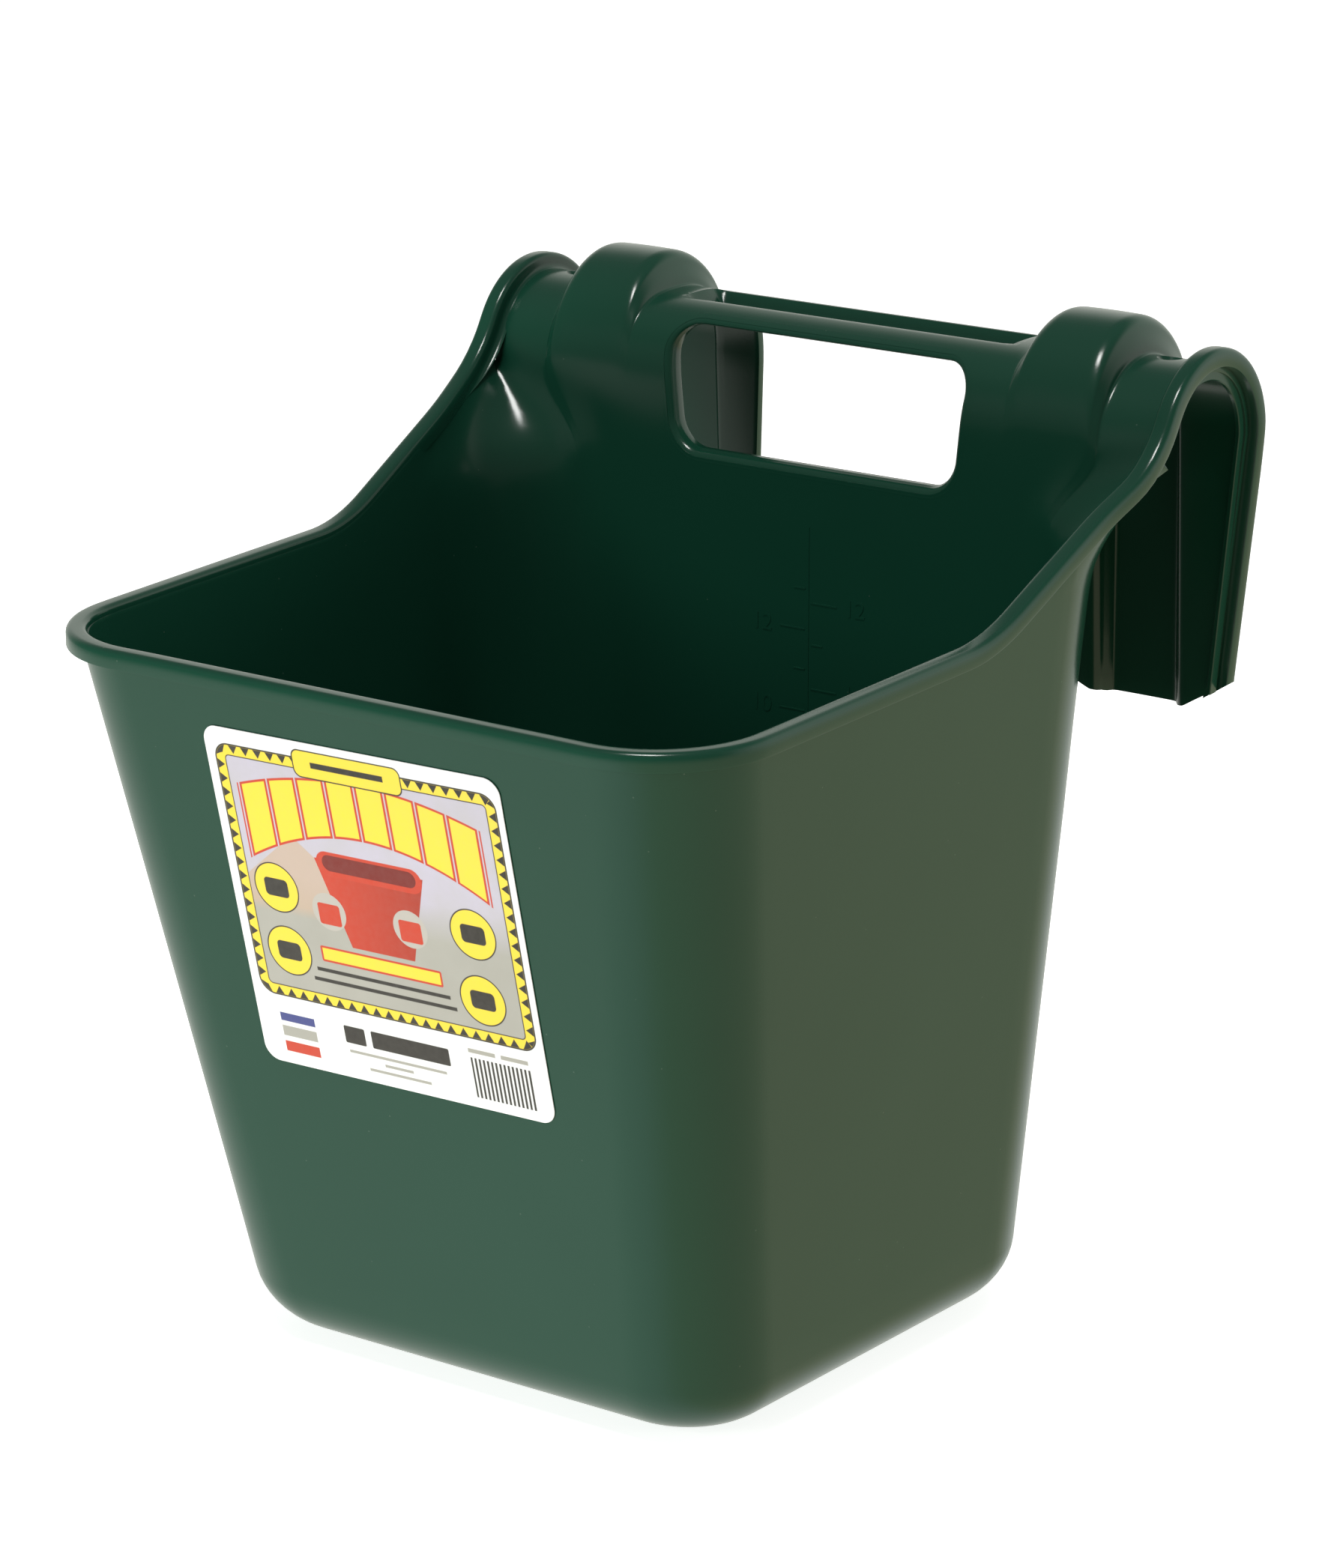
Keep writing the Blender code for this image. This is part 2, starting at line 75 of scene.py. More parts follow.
# Hooks
ARCH_Y = 236.5             # centre of the arch at the outer end
ARCH_Z = 304.5
ARCH_INNER = 26.5          # radius of the underside at the outer end
SADDLE_TOP = 334.0
RIB_X = 141.5              # stiffening rib under the outer edge of the hook
RIB_WIDTH = 1.8
RIB_HEIGHT = 3.0
RIDGE_RADIUS = 35.5
RIDGE_X = 148.0
RIDGE_START_Y = 170.0      # the rim starts to spread into the ridge here
HOOK_OUTER_X = 144.0
EDGE_TUCK = 2.2            # the hook's edge is drawn in under the bead where the arch starts
TUCK_WIDTH = 14.0          # how far in from the edge it reaches
TUCK_ROWS_BELOW = 10       # rows of points below and above the arch's start
TUCK_ROWS_ABOVE = 14
HOOK_INNER_X = 62.0
SHOULDER_Z = 255.0         # the back corner starts to open into the hook here
LEG_BOTTOM = 200.0
LEG_LEAN = 0.05            # the leg leans away from the wall going down
LEG_OUTER_TAPER = 0.13
LEG_INNER_TAPER = 0.06
TAPER_GAP = 3.0            # the panel narrows from this far beside the strap
LEG_CUT_RISE = 8.5
CUT_GAP = 1.0              # the edge stays level this far beside the strap
LEG_CUT_SLOPE = 0.66       # the same cut as a slope, at the foot of the leg
RIDGE_ANGLE = 45.0          # how far round the back corner the hook's columns start
CORNER_Y = 160.0           # depth at which the rim runs onto the back corner
PATH_EASE_Y = 150.0        # the rim's path is eased behind this depth
PATH_EASE_Z = 290.0        # and above this height

# Straps that stiffen the hooks
STRAP_X = 99.5
STRAP_HALF = 16.0
STRAP_CROWN_ROUND = 5.5
STRAP_SIDE_LEAN = 2.5      # how far a side wall leans out over its height
STRAP_FOOT_ROUND = 1.6
STRAP_FOOT_Z = 309.0
STRAP_TOP_Z = 347.0
STRAP_TOP_Y = 238.0
STRAP_REAR_Y = 276.0
CHANNEL_LEAN = 0.02

# Handle
WINDOW_HALF = 63.5
WINDOW_BOTTOM = 283.0
WINDOW_TOP = 327.5
WINDOW_RADIUS = 11.0
WINDOW_TAPER = 0.0016       # narrower towards the bottom
WINDOW_ROLL = 3.2          # radius of the rolled edge round the window
WINDOW_LIP = 5.0
LIP_WALL = 2.6
WINDOW_CUT_FRONT = 12.0    # how far in front of the wall it starts
WINDOW_CUT_DEPTH = 26.0
HANDLE_LAST_ANGLE = 62.0
GROOVE_DEPTH = 7.0
GROOVE_HALF = 71.0
GROOVE_START = 101.0       # the finger groove's edges, as angles on the arch
GROOVE_END = 69.0
SQUARENESS = 0.74          # how boxy the saddle is near the handle
BOXY_TO_X = 84.0
BOXY_FADE = 30.0           # it gets round over this width
ARCH_SPLAY_X = 90.0        # outside this the arch's wall side comes forward

# Screw holes in the saddle
SCREW_HOLE_X = 127.0
SCREW_HOLE_Y = 239.0
SCREW_HOLE_RADIUS = 4.2
SCREW_HOLE_STEPS = 32

# Volume marks inside the back wall
QUART = 0.946353
MARK_PROUD = 0.2
MARK_WIDTH = 0.8
MARK_LONG = 12.3
MARK_SHORT = 6.3
MARK_LINE_TOP = 262.0
NUMBER_SIZE = 9.0
NUMBER_X = 20.0

# Label on the front
LABEL_WIDTH = 122.5
LABEL_HEIGHT = 126.5
LABEL_Z = 178.3
LABEL_X = -2.0
LABEL_TILT = -1.0          # stuck on slightly askew, degrees
LABEL_THICK = 0.3
LABEL_GAP = 0.3
LABEL_ROUND = 6.0

# Half way between the front of the rim and the back of the straps
MIDDLE_Y = (STRAP_REAR_Y + CHANNEL_LEAN * (ARCH_Z - LEG_BOTTOM)
            - FRONT_DRAFT * RIM_FRONT_Z - RIM_OVERHANG) / 2

# The printed picture's frame on the label: its middle and half its size
PICTURE_X = 0.6
PICTURE_Z = 10.4
PICTURE_HALF_X = 58.2
PICTURE_HALF_Z = 47.1

# Camera, fitted to the outlines; y counts from the front edge of the base
CAMERA_LENS = 122.0
CAMERA_AZIMUTH = 35.78
CAMERA_ELEVATION = 16.83
CAMERA_PLACE = (1034.6, -1320.6, 723.5)

# The floor, which only the camera sees
FLOOR_HALF = 9.0           # metres
FLOOR_GLOW = 0.8

# Room and table, which the gloss and the soft light see in place of the floor
ROOM_FRONT = (0.12, 0.13, 0.12, 1.0)
ROOM_BACK = (0.85, 0.86, 0.8, 1.0)
ROOM_TOP = (0.16, 0.16, 0.16, 1.0)
TABLE_FRONT = (0.78, 0.8, 0.74, 1.0)
TABLE_RIGHT = (0.66, 0.62, 0.42, 1.0)

FRONT_STEPS = 8
CORNER_STEPS = 18
SIDE_STEPS = 26
BACK_ARC_STEPS = 14
BACK_STEPS = 20
FILLET_STEPS = 12
WALL_STEPS = 20
UPPER_STEPS = 12
ARCH_STEPS = 72
LEG_STEPS = 20
EASE_ROUNDS = 14


# ---------------------------------------------------------------- shape rules

def smooth(t):
    """Smoothstep from 0 to 1."""
    t = max(0.0, min(1.0, t))
    return t * t * (3.0 - 2.0 * t)


def flare(t):
    """How far the shoulder has opened, from its start at 0 to the hook at 1."""
    return smooth((t - 0.4) / 0.6)


def mix(a, b, t):
    return a + (b - a) * t


def fade(i, first, last, width):
    """0 at both ends of a run of indices, 1 from width steps inside it."""
    return max(0.0, min(1.0, (i - first) / width, (last - i) / width))


def half_width(y, z):
    """Outer half width of the tub."""
    return BASE_HALF + SIDE_FLARE * y + z * (SIDE_DRAFT - DRAFT_TWIST * y)


def front_y(z):
    return -FRONT_DRAFT * z


def back_y(z):
    return BASE_DEPTH + BACK_DRAFT * z


def rim_top(y):
    """Height of the rim's top edge at depth y."""
    y0 = front_y(RIM_FRONT_Z)
    gentle = RIM_FRONT_Z + RIM_GENTLE_RISE * (y - y0)
    start = RIM_BEND_Y - RIM_BEND_LENGTH / 2
    extra = RIM_INCLINE - RIM_GENTLE_RISE
    if y <= start:
        return gentle
    if y >= start + RIM_BEND_LENGTH:
        return gentle + extra * (y - RIM_BEND_Y)
    t = y - start
    return gentle + extra * t * t / (2 * RIM_BEND_LENGTH)


def front_corner(z, inset):
    """Centre and radius of the front corner at height z."""
    radius = max(FRONT_RADIUS + FRONT_RADIUS_GROWTH * z - inset, 2.0)
    cy = front_y(z) + inset + radius
    return half_width(cy, z) - inset - radius, cy, radius


def back_corner(z, inset):
    radius = max(BACK_RADIUS + BACK_RADIUS_GROWTH * z - inset, 2.0)
    cy = back_y(z) - inset - radius
    return half_width(cy, z) - inset - radius, cy, radius


def strap_stations():
    """(distance from the strap's middle, strap height 0 to 1) across half a strap."""
    height = STRAP_TOP_Z - SADDLE_TOP
    shoulder = STRAP_HALF - STRAP_CROWN_ROUND
    stations = []
    for i in range(5):
        stations.append((shoulder * i / 5, 1.0 - 0.012 * (i / 5) ** 2))
    lean = math.degrees(math.atan(STRAP_SIDE_LEAN / height))
    for i in range(9):
        a = math.radians((90.0 - lean) * i / 8)
        drop = STRAP_CROWN_ROUND * (1.0 - math.cos(a))
        stations.append((shoulder + STRAP_CROWN_ROUND * math.sin(a), 0.988 - drop / height))
    d0, t0 = stations[-1]
    low = STRAP_FOOT_ROUND / height
    for i in (1, 2, 3):
        stations.append((mix(d0, STRAP_HALF + STRAP_SIDE_LEAN, i / 3), mix(t0, low, i / 3)))
    for i in range(1, 6):
        a = math.radians(90.0 * i / 5)
        d = STRAP_HALF + STRAP_SIDE_LEAN + STRAP_FOOT_ROUND * (1.0 - math.cos(a))
        stations.append((d, low * (1.0 - math.sin(a))))
    return stations


def hook_stations():
    """(x, strap height) across the hook, from its outer edge to its inner edge."""
    half = strap_stations()
    reach = half[-1][0]
    stations = []
    for i in range(12):
        stations.append((mix(HOOK_OUTER_X, STRAP_X + reach, i / 12), 0.0))
    for d, t in reversed(half):
        stations.append((STRAP_X + d, t))
    for d, t in half[1:]:
        stations.append((STRAP_X - d, t))
    for i in range(1, 9):
        stations.append((mix(STRAP_X - reach, HOOK_INNER_X, i / 8), 0.0))
    return stations


def column_list():
    """(kind, place, strap height) of the columns, front middle to back middle."""
    columns = []
    for kind, steps, span in (("front", FRONT_STEPS, 1.0), ("front_arc", CORNER_STEPS, 90.0),
                              ("side", SIDE_STEPS, 1.0), ("back_arc", BACK_ARC_STEPS, RIDGE_ANGLE)):
        for i in range(steps):
            columns.append((kind, span * i / steps, 0.0))
    for x, t in hook_stations():
        columns.append(("hook", x, t))
    for i in range(1, BACK_STEPS + 1):
        columns.append(("back", HOOK_INNER_X * (1.0 - i / BACK_STEPS), 0.0))
    return columns


def corner_station(x, cx, radius):
    """Where a hook column meets the wall below the hook."""
    edge = cx + radius * math.cos(math.radians(RIDGE_ANGLE))
    t = (x - HOOK_INNER_X) / (HOOK_OUTER_X - HOOK_INNER_X)
    return mix(min(HOOK_INNER_X, cx), edge, t)


def plan_point(column, z, inset):
    """Wall point of a column at height z, inset from the outer face."""
    kind, value, _ = column
    if kind == "front":
        return front_corner(z, inset)[0] * value, front_y(z) + inset
    if kind == "front_arc":
        cx, cy, radius = front_corner(z, inset)
        a = math.radians(value - 90.0)
        return cx + radius * math.cos(a), cy + radius * math.sin(a)
    if kind == "side":
        y = mix(front_corner(z, inset)[1], back_corner(z, inset)[1], value)
        return half_width(y, z) - inset, y
    cx, cy, radius = back_corner(z, inset)
    if kind == "back_arc":
        a = math.radians(value)
        return cx + radius * math.cos(a), cy + radius * math.sin(a)
    if kind == "hook":
        x = corner_station(value, cx, radius)
        reach = min(max((x - cx) / radius, 0.0), 1.0)
        return x, cy + radius * math.sqrt(1.0 - reach * reach)
    return value * min(1.0, cx / HOOK_INNER_X), back_y(z) - inset


def arch_shape(x):
    """Centre y, centre z and underside radius of the arch at x."""
    wall = ARCH_Y - ARCH_INNER
    y_wall = mix(back_y(ARCH_Z), wall, smooth((x - ARCH_SPLAY_X) / (HOOK_OUTER_X - ARCH_SPLAY_X)))
    leg = ARCH_Y + ARCH_INNER
    radius = (leg - y_wall) / 2
    return (leg + y_wall) / 2, SADDLE_TOP - WALL - radius, radius


def strap_top(angle):
    """Upper point of the strap over the arch; angle 180 is the wall side."""
    a = math.radians(angle)
    front = back_y(STRAP_FOOT_Z) - WALL
    span = STRAP_TOP_Y - front if angle > 90.0 else STRAP_REAR_Y - STRAP_TOP_Y
    height = STRAP_TOP_Z - STRAP_FOOT_Z
    return STRAP_TOP_Y + span * math.cos(a), STRAP_FOOT_Z + height * math.sin(a)


def groove_depth(x, angle):
    """The finger groove along the handle, with rounded edges and ends."""
    ends = smooth((GROOVE_HALF - x) / 5.0)
    sides = smooth((GROOVE_START - angle) / 7.0) * smooth((angle - GROOVE_END) / 7.0)
    return GROOVE_DEPTH * ends * sides


def arch_point(x, strap, angle):
    """Upper point on the arch."""
    cy, cz, radius = arch_shape(x)
    radius += WALL
    a = math.radians(angle)
    power = mix(SQUARENESS, 1.0, smooth((x - BOXY_TO_X) / BOXY_FADE))
    y = cy + radius * math.copysign(abs(math.cos(a)) ** power, math.cos(a))
    z = cz + radius * abs(math.sin(a)) ** power
    z -= groove_depth(x, angle)
    sy, sz = strap_top(angle)
    return Vector((x, mix(y, sy, strap), mix(z, sz, strap)))


def leg_rear(strap, z):
    """Y of the leg's fence-side face."""
    panel = ARCH_Y + ARCH_INNER + WALL + LEG_LEAN * (ARCH_Z - z)
    channel = STRAP_REAR_Y + CHANNEL_LEAN * (ARCH_Z - z)
    return mix(panel, channel, strap)


def leg_x(x, z):
    """A hook column's x lower down, where the leg narrows on both edges."""
    drop = max(0.0, ARCH_Z - z)
    edge = STRAP_X + STRAP_HALF + TAPER_GAP
    if x > edge:
        return x - LEG_OUTER_TAPER * drop * (x - edge) / (HOOK_OUTER_X - edge)
    edge = STRAP_X - STRAP_HALF - TAPER_GAP
    if x < edge:
        return x + LEG_INNER_TAPER * drop * (edge - x) / (edge - HOOK_INNER_X)
    return x


def leg_bottom(x):
    """The leg's lower edge is cut up towards both of its sides."""
    span = HOOK_OUTER_X - STRAP_X - STRAP_HALF - CUT_GAP
    return LEG_BOTTOM + LEG_CUT_RISE * max(0.0, abs(x - STRAP_X) - STRAP_HALF - CUT_GAP) / span


def rim_x(y, z):
    """Outer face of the rim bead, which spreads into the ridge of the hook."""
    return mix(half_width(y, z) + RIM_OVERHANG, RIDGE_X, smooth((y - RIDGE_START_Y) / 30.0))


def rim_depth(column):
    """Depth at which a column meets the rim line."""
    if column[0] == "back_arc":
        last = ARCH_Y - ARCH_INNER - WALL
        return mix(back_corner(rim_top(CORNER_Y), 0.0)[1], last, column[1] / RIDGE_ANGLE)
    z = RIM_FRONT_Z
    for _ in range(16):
        y = plan_point(column, z, WALL)[1]
        z = rim_top(y)
    return y


# --------------------------------------------------------------- the moulding

def tub_points(column, shoulder):
    """Inner-face points of a column from the base up to its shoulder."""
    radius = BASE_FILLET - WALL
    points = []
    for i in range(FILLET_STEPS + 1):
        a = math.radians(90.0 * i / FILLET_STEPS)
        z = WALL + radius * (1.0 - math.cos(a))
        x, y = plan_point(column, z, WALL + radius * (1.0 - math.sin(a)))
        points.append(Vector((x, y, z)))
    for i in range(1, WALL_STEPS + 1):
        z = mix(BASE_FILLET, shoulder, i / WALL_STEPS)
        x, y = plan_point(column, z, WALL)
        points.append(Vector((x, y, z)))
    return points


def rim_points(column, shoulder, y_top):
    """Points from the shoulder to just under the rim's top."""
    z_top = rim_top(y_top)
    edge = rim_x(y_top, z_top) - RIM_OVERHANG - WALL
    points = []
    for i in range(1, UPPER_STEPS + 1):
        t = i / UPPER_STEPS
        z = mix(shoulder, z_top - 3.0, t)
        x, y = plan_point(column, z, WALL)
        if column[0] == "back_arc":
            x = mix(x, edge, flare(t))
            y = mix(y, y_top, flare(t))
        points.append(Vector((x, y, z)))
    return points


def shoulder_points(column):
    """Points from the shoulder to the start of the arch."""
    _, value, strap = column
    x0, y0 = plan_point(column, SHOULDER_Z, WALL)
    start = arch_point(value, strap, 180.0)
    points = []
    for i in range(1, UPPER_STEPS + 1):
        t = i / UPPER_STEPS
        s = flare(t)
        points.append(Vector((mix(x0, start.x, s), mix(y0, start.y, s), mix(SHOULDER_Z, start.z, t))))
    return points


def hook_points(column):
    """Points over the saddle, and down the leg where there is one."""
    kind, x, strap = column
    last = 0.0 if kind == "hook" else HANDLE_LAST_ANGLE
    count = round(ARCH_STEPS * (180.0 - last) / 180.0)
    points = []
    for i in range(1, count + 1):
        points.append(arch_point(x, strap, 180.0 - 180.0 * i / ARCH_STEPS))
    if kind == "back":
        return points
    top = points[-1].z
    for i in range(1, LEG_STEPS + 1):
        z = mix(top, leg_bottom(x), i / LEG_STEPS)
        points.append(Vector((leg_x(x, z), leg_rear(strap, z), z)))
    return points


def column_points(column):
    """All inner-face points of a column, bottom to top."""
    if column[0] in ("hook", "back"):
        points = tub_points(column, SHOULDER_Z) + shoulder_points(column)
        start = len(points) - 1
        points += hook_points(column)
        for i, point in enumerate(points):
            reach = smooth((column[1] - HOOK_OUTER_X + TUCK_WIDTH) / TUCK_WIDTH)
            point.x -= EDGE_TUCK * reach * fade(i, start - TUCK_ROWS_BELOW, start + TUCK_ROWS_ABOVE, 10.0)
        return points
    y_top = rim_depth(column)
    shoulder = min(rim_top(y_top) - 20.0, SHOULDER_Z)
    return tub_points(column, shoulder) + rim_points(column, shoulder, y_top)


def placed(v):
    """A construction point in millimetres, in metres in the part's frame."""
    return (Vector(v) - Vector((0.0, MIDDLE_Y, 0.0))) * MM


def link(name, mesh):
    obj = bpy.data.objects.new(name, mesh)
    bpy.context.scene.collection.objects.link(obj)
    return obj


def write_mesh(name, bm):
    mesh = bpy.data.meshes.new(name)
    bm.to_mesh(mesh)
    bm.free()
    return mesh


def closed_mesh(name, bm):
    """The mesh of a closed body, with its faces pointing out."""
    bmesh.ops.recalc_face_normals(bm, faces=bm.faces)
    return write_mesh(name, bm)


def loft(bm, rings):
    """Faces between neighbouring rings of equal length."""
    for a, b in zip(rings, rings[1:]):
        for k in range(len(a)):
            n = (k + 1) % len(a)
            bm.faces.new((a[k], a[n], b[n], b[k]))


def ease_shoulder(columns, grid):
    """Smooth the shoulder, where the corner of the tub opens into the hook."""
    corner = [i for i, c in enumerate(columns) if c[0] == "back_arc"]
    outer = [i for i, c in enumerate(columns) if c[0] == "hook" and c[1] > STRAP_X + STRAP_HALF + 4.0]
    rim_row = len(grid[corner[0]]) - 1
    low = rim_row - UPPER_STEPS - 6
    for _ in range(EASE_ROUNDS):
        moved = {}
        for c in range(corner[0] + 1, outer[-1]):
            top = rim_row if c <= outer[0] else rim_row + 10
            for r in range(low + 1, top):
                weight = fade(c, corner[0], outer[-1], 3.0) * fade(r, low, top, 3.0)
                middle = (grid[c - 1][r] + grid[c + 1][r] + grid[c][r - 1] + grid[c][r + 1]) / 4
                moved[c, r] = grid[c][r].lerp(middle, 0.6 * weight)
        for (c, r), spot in moved.items():
            grid[c][r] = spot


def skin_mesh():
    """Open inner face of the right half: tub wall, base and hook."""
    bm = bmesh.new()
    columns = column_list()
    spots = [column_points(column) for column in columns]
    ease_shoulder(columns, spots)
    grid = []
    for column, points in zip(columns, spots):
        if column[0] in ("front", "back") and abs(column[1]) < 1e-6:
            points = [Vector((0.0, p.y, p.z)) for p in points]
        grid.append([bm.verts.new(placed(p)) for p in points])
    for left, right in zip(grid, grid[1:]):
        for r in range(min(len(left), len(right)) - 1):
            bm.faces.new((left[r], left[r + 1], right[r + 1], right[r]))
    base = bm.faces.new([col[0] for col in grid])
    bmesh.ops.recalc_face_normals(bm, faces=bm.faces)
    base.normal_update()
    if base.normal.z > 0.0:
        bmesh.ops.reverse_faces(bm, faces=bm.faces)
    return write_mesh("moulding_skin", bm)


def arch_meeting():
    """Where the inclined rim line runs into the ridge's arc: y, z, angle."""
    for k in range(1800, 900, -1):
        a = math.radians(k / 10)
        y = ARCH_Y + RIDGE_RADIUS * math.cos(a)
        z = ARCH_Z + RIDGE_RADIUS * math.sin(a)
        if z >= rim_top(y):
            return y, z, k / 10
    return ARCH_Y, ARCH_Z + RIDGE_RADIUS, 90.0


def rim_path():
    """(outer top edge, outward, ridge weight): front, side, over the hook, down the leg."""
    points = []
    cx, cy, radius = front_corner(RIM_FRONT_Z, 0.0)
    y0 = front_y(RIM_FRONT_Z) - RIM_OVERHANG
    for i in range(6):
        points.append(((cx * i / 6, y0, RIM_FRONT_Z), (0.0, -1.0, 0.0), 0.0))
    reach = radius + RIM_OVERHANG
    for i in range(25):
        a = math.radians(90.0 * i / 24 - 90.0)
        y = cy + reach * math.sin(a)
        spot = (cx + reach * math.cos(a), y, rim_top(y))
        points.append((spot, (math.cos(a), math.sin(a), 0.0), 0.0))
    side = (1.0, 0.0, 0.0)
    meet = arch_meeting()
    for i in range(1, 61):
        y = mix(cy, meet[0] - 6.0, i / 60)
        z = rim_top(y)
        points.append(((rim_x(y, z), y, z), side, smooth((y - 180.0) / 20.0)))
    first = meet[2] - 9.0
    for i in range(49):
        a = math.radians(mix(first, 0.0, i / 48))
        y = ARCH_Y + RIDGE_RADIUS * math.cos(a)
        z = ARCH_Z + RIDGE_RADIUS * math.sin(a)
        points.append(((RIDGE_X, y, z), side, 1.0))
    bottom = LEG_BOTTOM + LEG_CUT_RISE + RIM_OVERHANG * LEG_CUT_SLOPE
    for i in range(1, 13):
        z = mix(ARCH_Z, bottom, i / 12)
        drop = ARCH_Z - z
        x = RIDGE_X - LEG_OUTER_TAPER * drop
        points.append(((x, ARCH_Y + RIDGE_RADIUS + LEG_LEAN * drop, z), side, 1.0))
    return points


def eased(path, rounds):
    """The path with its corners eased, its ends kept."""
    for _ in range(rounds):
        spots = [Vector(p[0]) for p in path]
        for i in range(1, len(path) - 1):
            if path[i][0][1] > PATH_EASE_Y and path[i][0][2] > PATH_EASE_Z:
                spots[i] = (spots[i - 1] + 2 * spots[i] + spots[i + 1]) / 4
        path = [(tuple(s), p[1], p[2]) for s, p in zip(spots, path)]
    return path


def bead_section(ridge):
    """(outward, up) points of the bead's section, its outer top corner at 0, 0."""
    section = [(-BEAD_WIDTH, -BEAD_HEIGHT), (-0.5, -BEAD_HEIGHT), (-0.15, -BEAD_HEIGHT + 0.15)]
    section.append((0.0, -BEAD_HEIGHT + 0.5))
    for i in range(6):
        a = math.radians(18.0 * i)
        section.append((BEAD_ROUND * (math.cos(a) - 1.0), BEAD_ROUND * (math.sin(a) - 1.0)))
    for i in range(6):
        a = math.radians(90.0 + 16.0 * i)
        x = -BEAD_WIDTH + BEAD_ROUND * (1.0 + math.cos(a))
        section.append((x, BEAD_ROUND * (math.sin(a) - 1.0)))
    saddle = ARCH_INNER + WALL - RIDGE_RADIUS
    for i in range(6):
        a = math.radians(18.0 * i)
        x = -BEAD_WIDTH - ridge * BEAD_FLARE * (1.0 - math.cos(a))
        section.append((x, saddle - 0.25 + BEAD_FLARE * (1.0 - math.sin(a))))
    return section


def sweep_mesh(name, path, section_of, open_start, end_slope=0.0):
    """Loft a section along a path of (point, outward, weight); end_slope bevels its end."""
    bm = bmesh.new()
    rings = []
    for i, (spot, outward, weight) in enumerate(path):
        before = Vector(path[max(i - 1, 0)][0])
        after = Vector(path[min(i + 1, len(path) - 1)][0])
        out = Vector(outward)
        up = out.cross((after - before).normalized()).normalized()
        if i == 0 and open_start:
            up = Vector((0.0, 0.0, 1.0))
        places = [placed(Vector(spot) + out * o + up * u) for o, u in section_of(weight)]
        rings.append([bm.verts.new(place) for place in places])
    for vert, (o, _) in zip(rings[-1], section_of(path[-1][2])):
        vert.co.z += end_slope * o * MM
    loft(bm, rings)
    bm.faces.new(rings[-1])
    if not open_start:
        bm.faces.new(rings[0])
    return closed_mesh(name, bm)


def rib_path():
    """Lower edge of the rib under the hook's outer edge, over the arch and down the leg."""
    side = (1.0, 0.0, 0.0)
    points = []
    for i in range(41):
        a = math.radians(mix(140.0, 0.0, i / 40))
        reach = ARCH_INNER - mix(0.3, RIB_HEIGHT, smooth(i / 10))
        points.append(((RIB_X, ARCH_Y + reach * math.cos(a), ARCH_Z + reach * math.sin(a)), side, 0.0))
    bottom = leg_bottom(RIB_X)
    for i in range(1, 9):
        z = mix(ARCH_Z, bottom, i / 8)
        points.append(((leg_x(RIB_X, z), leg_rear(0.0, z) - WALL - RIB_HEIGHT, z), side, 0.0))
    return points


def rib_section(_):
    wide = RIB_WIDTH
    top = RIB_HEIGHT + 1.2
    return ((0.0, 0.3), (0.3, 0.0), (wide - 0.3, 0.0), (wide, 0.3), (wide, top), (0.0, top))


def mirrored(obj):
    mirror = obj.modifiers.new("Mirror", "MIRROR")
    mirror.use_axis[0] = True
    mirror.merge_threshold = 0.00005
    return obj


def rounded_rectangle(half, low, high, radius, steps):
    """(x, z) outline of a rounded rectangle about x = 0, with its outward directions."""
    points = []
    for cx, cz, start in ((half - radius, high - radius, 0.0), (radius - half, high - radius, 90.0),
                          (radius - half, low + radius, 180.0), (half - radius, low + radius, 270.0)):
        for i in range(steps + 1):
            a = math.radians(start + 90.0 * i / steps)
            out = (math.cos(a), math.sin(a))
            points.append(((cx + radius * out[0], cz + radius * out[1]), out))
    return points


def tapered(outline):
    """The window's outline, drawn in towards its bottom."""
    return [((x * (1.0 - WINDOW_TAPER * (WINDOW_TOP - z)), z), out) for (x, z), out in outline]


def dense_outline(outline, step):
    """The outline with its straight stretches divided, so that it can follow a bent wall."""
    dense = []
    for i, (spot, out) in enumerate(outline):
        nxt, out2 = outline[(i + 1) % len(outline)]
        length = math.hypot(nxt[0] - spot[0], nxt[1] - spot[1])
        count = max(1, round(length / step))
        for k in range(count):
            t = k / count
            dense.append(((mix(spot[0], nxt[0], t), mix(spot[1], nxt[1], t)),
                          (mix(out[0], out2[0], t), mix(out[1], out2[1], t))))
    return dense


def panel_y(z):
    """Front face of the wall between the hooks, and of the saddle above it."""
    cy, cz, radius = arch_shape(HOOK_INNER_X)
    radius += WALL
    if z <= cz:
        return mix(back_y(SHOULDER_Z) - WALL, cy - radius, smooth((z - SHOULDER_Z) / (cz - SHOULDER_Z)))
    sine = min(1.0, (z - cz) / radius) ** (1.0 / SQUARENESS)
    return cy - radius * math.sqrt(max(0.0, 1.0 - sine * sine)) ** SQUARENESS


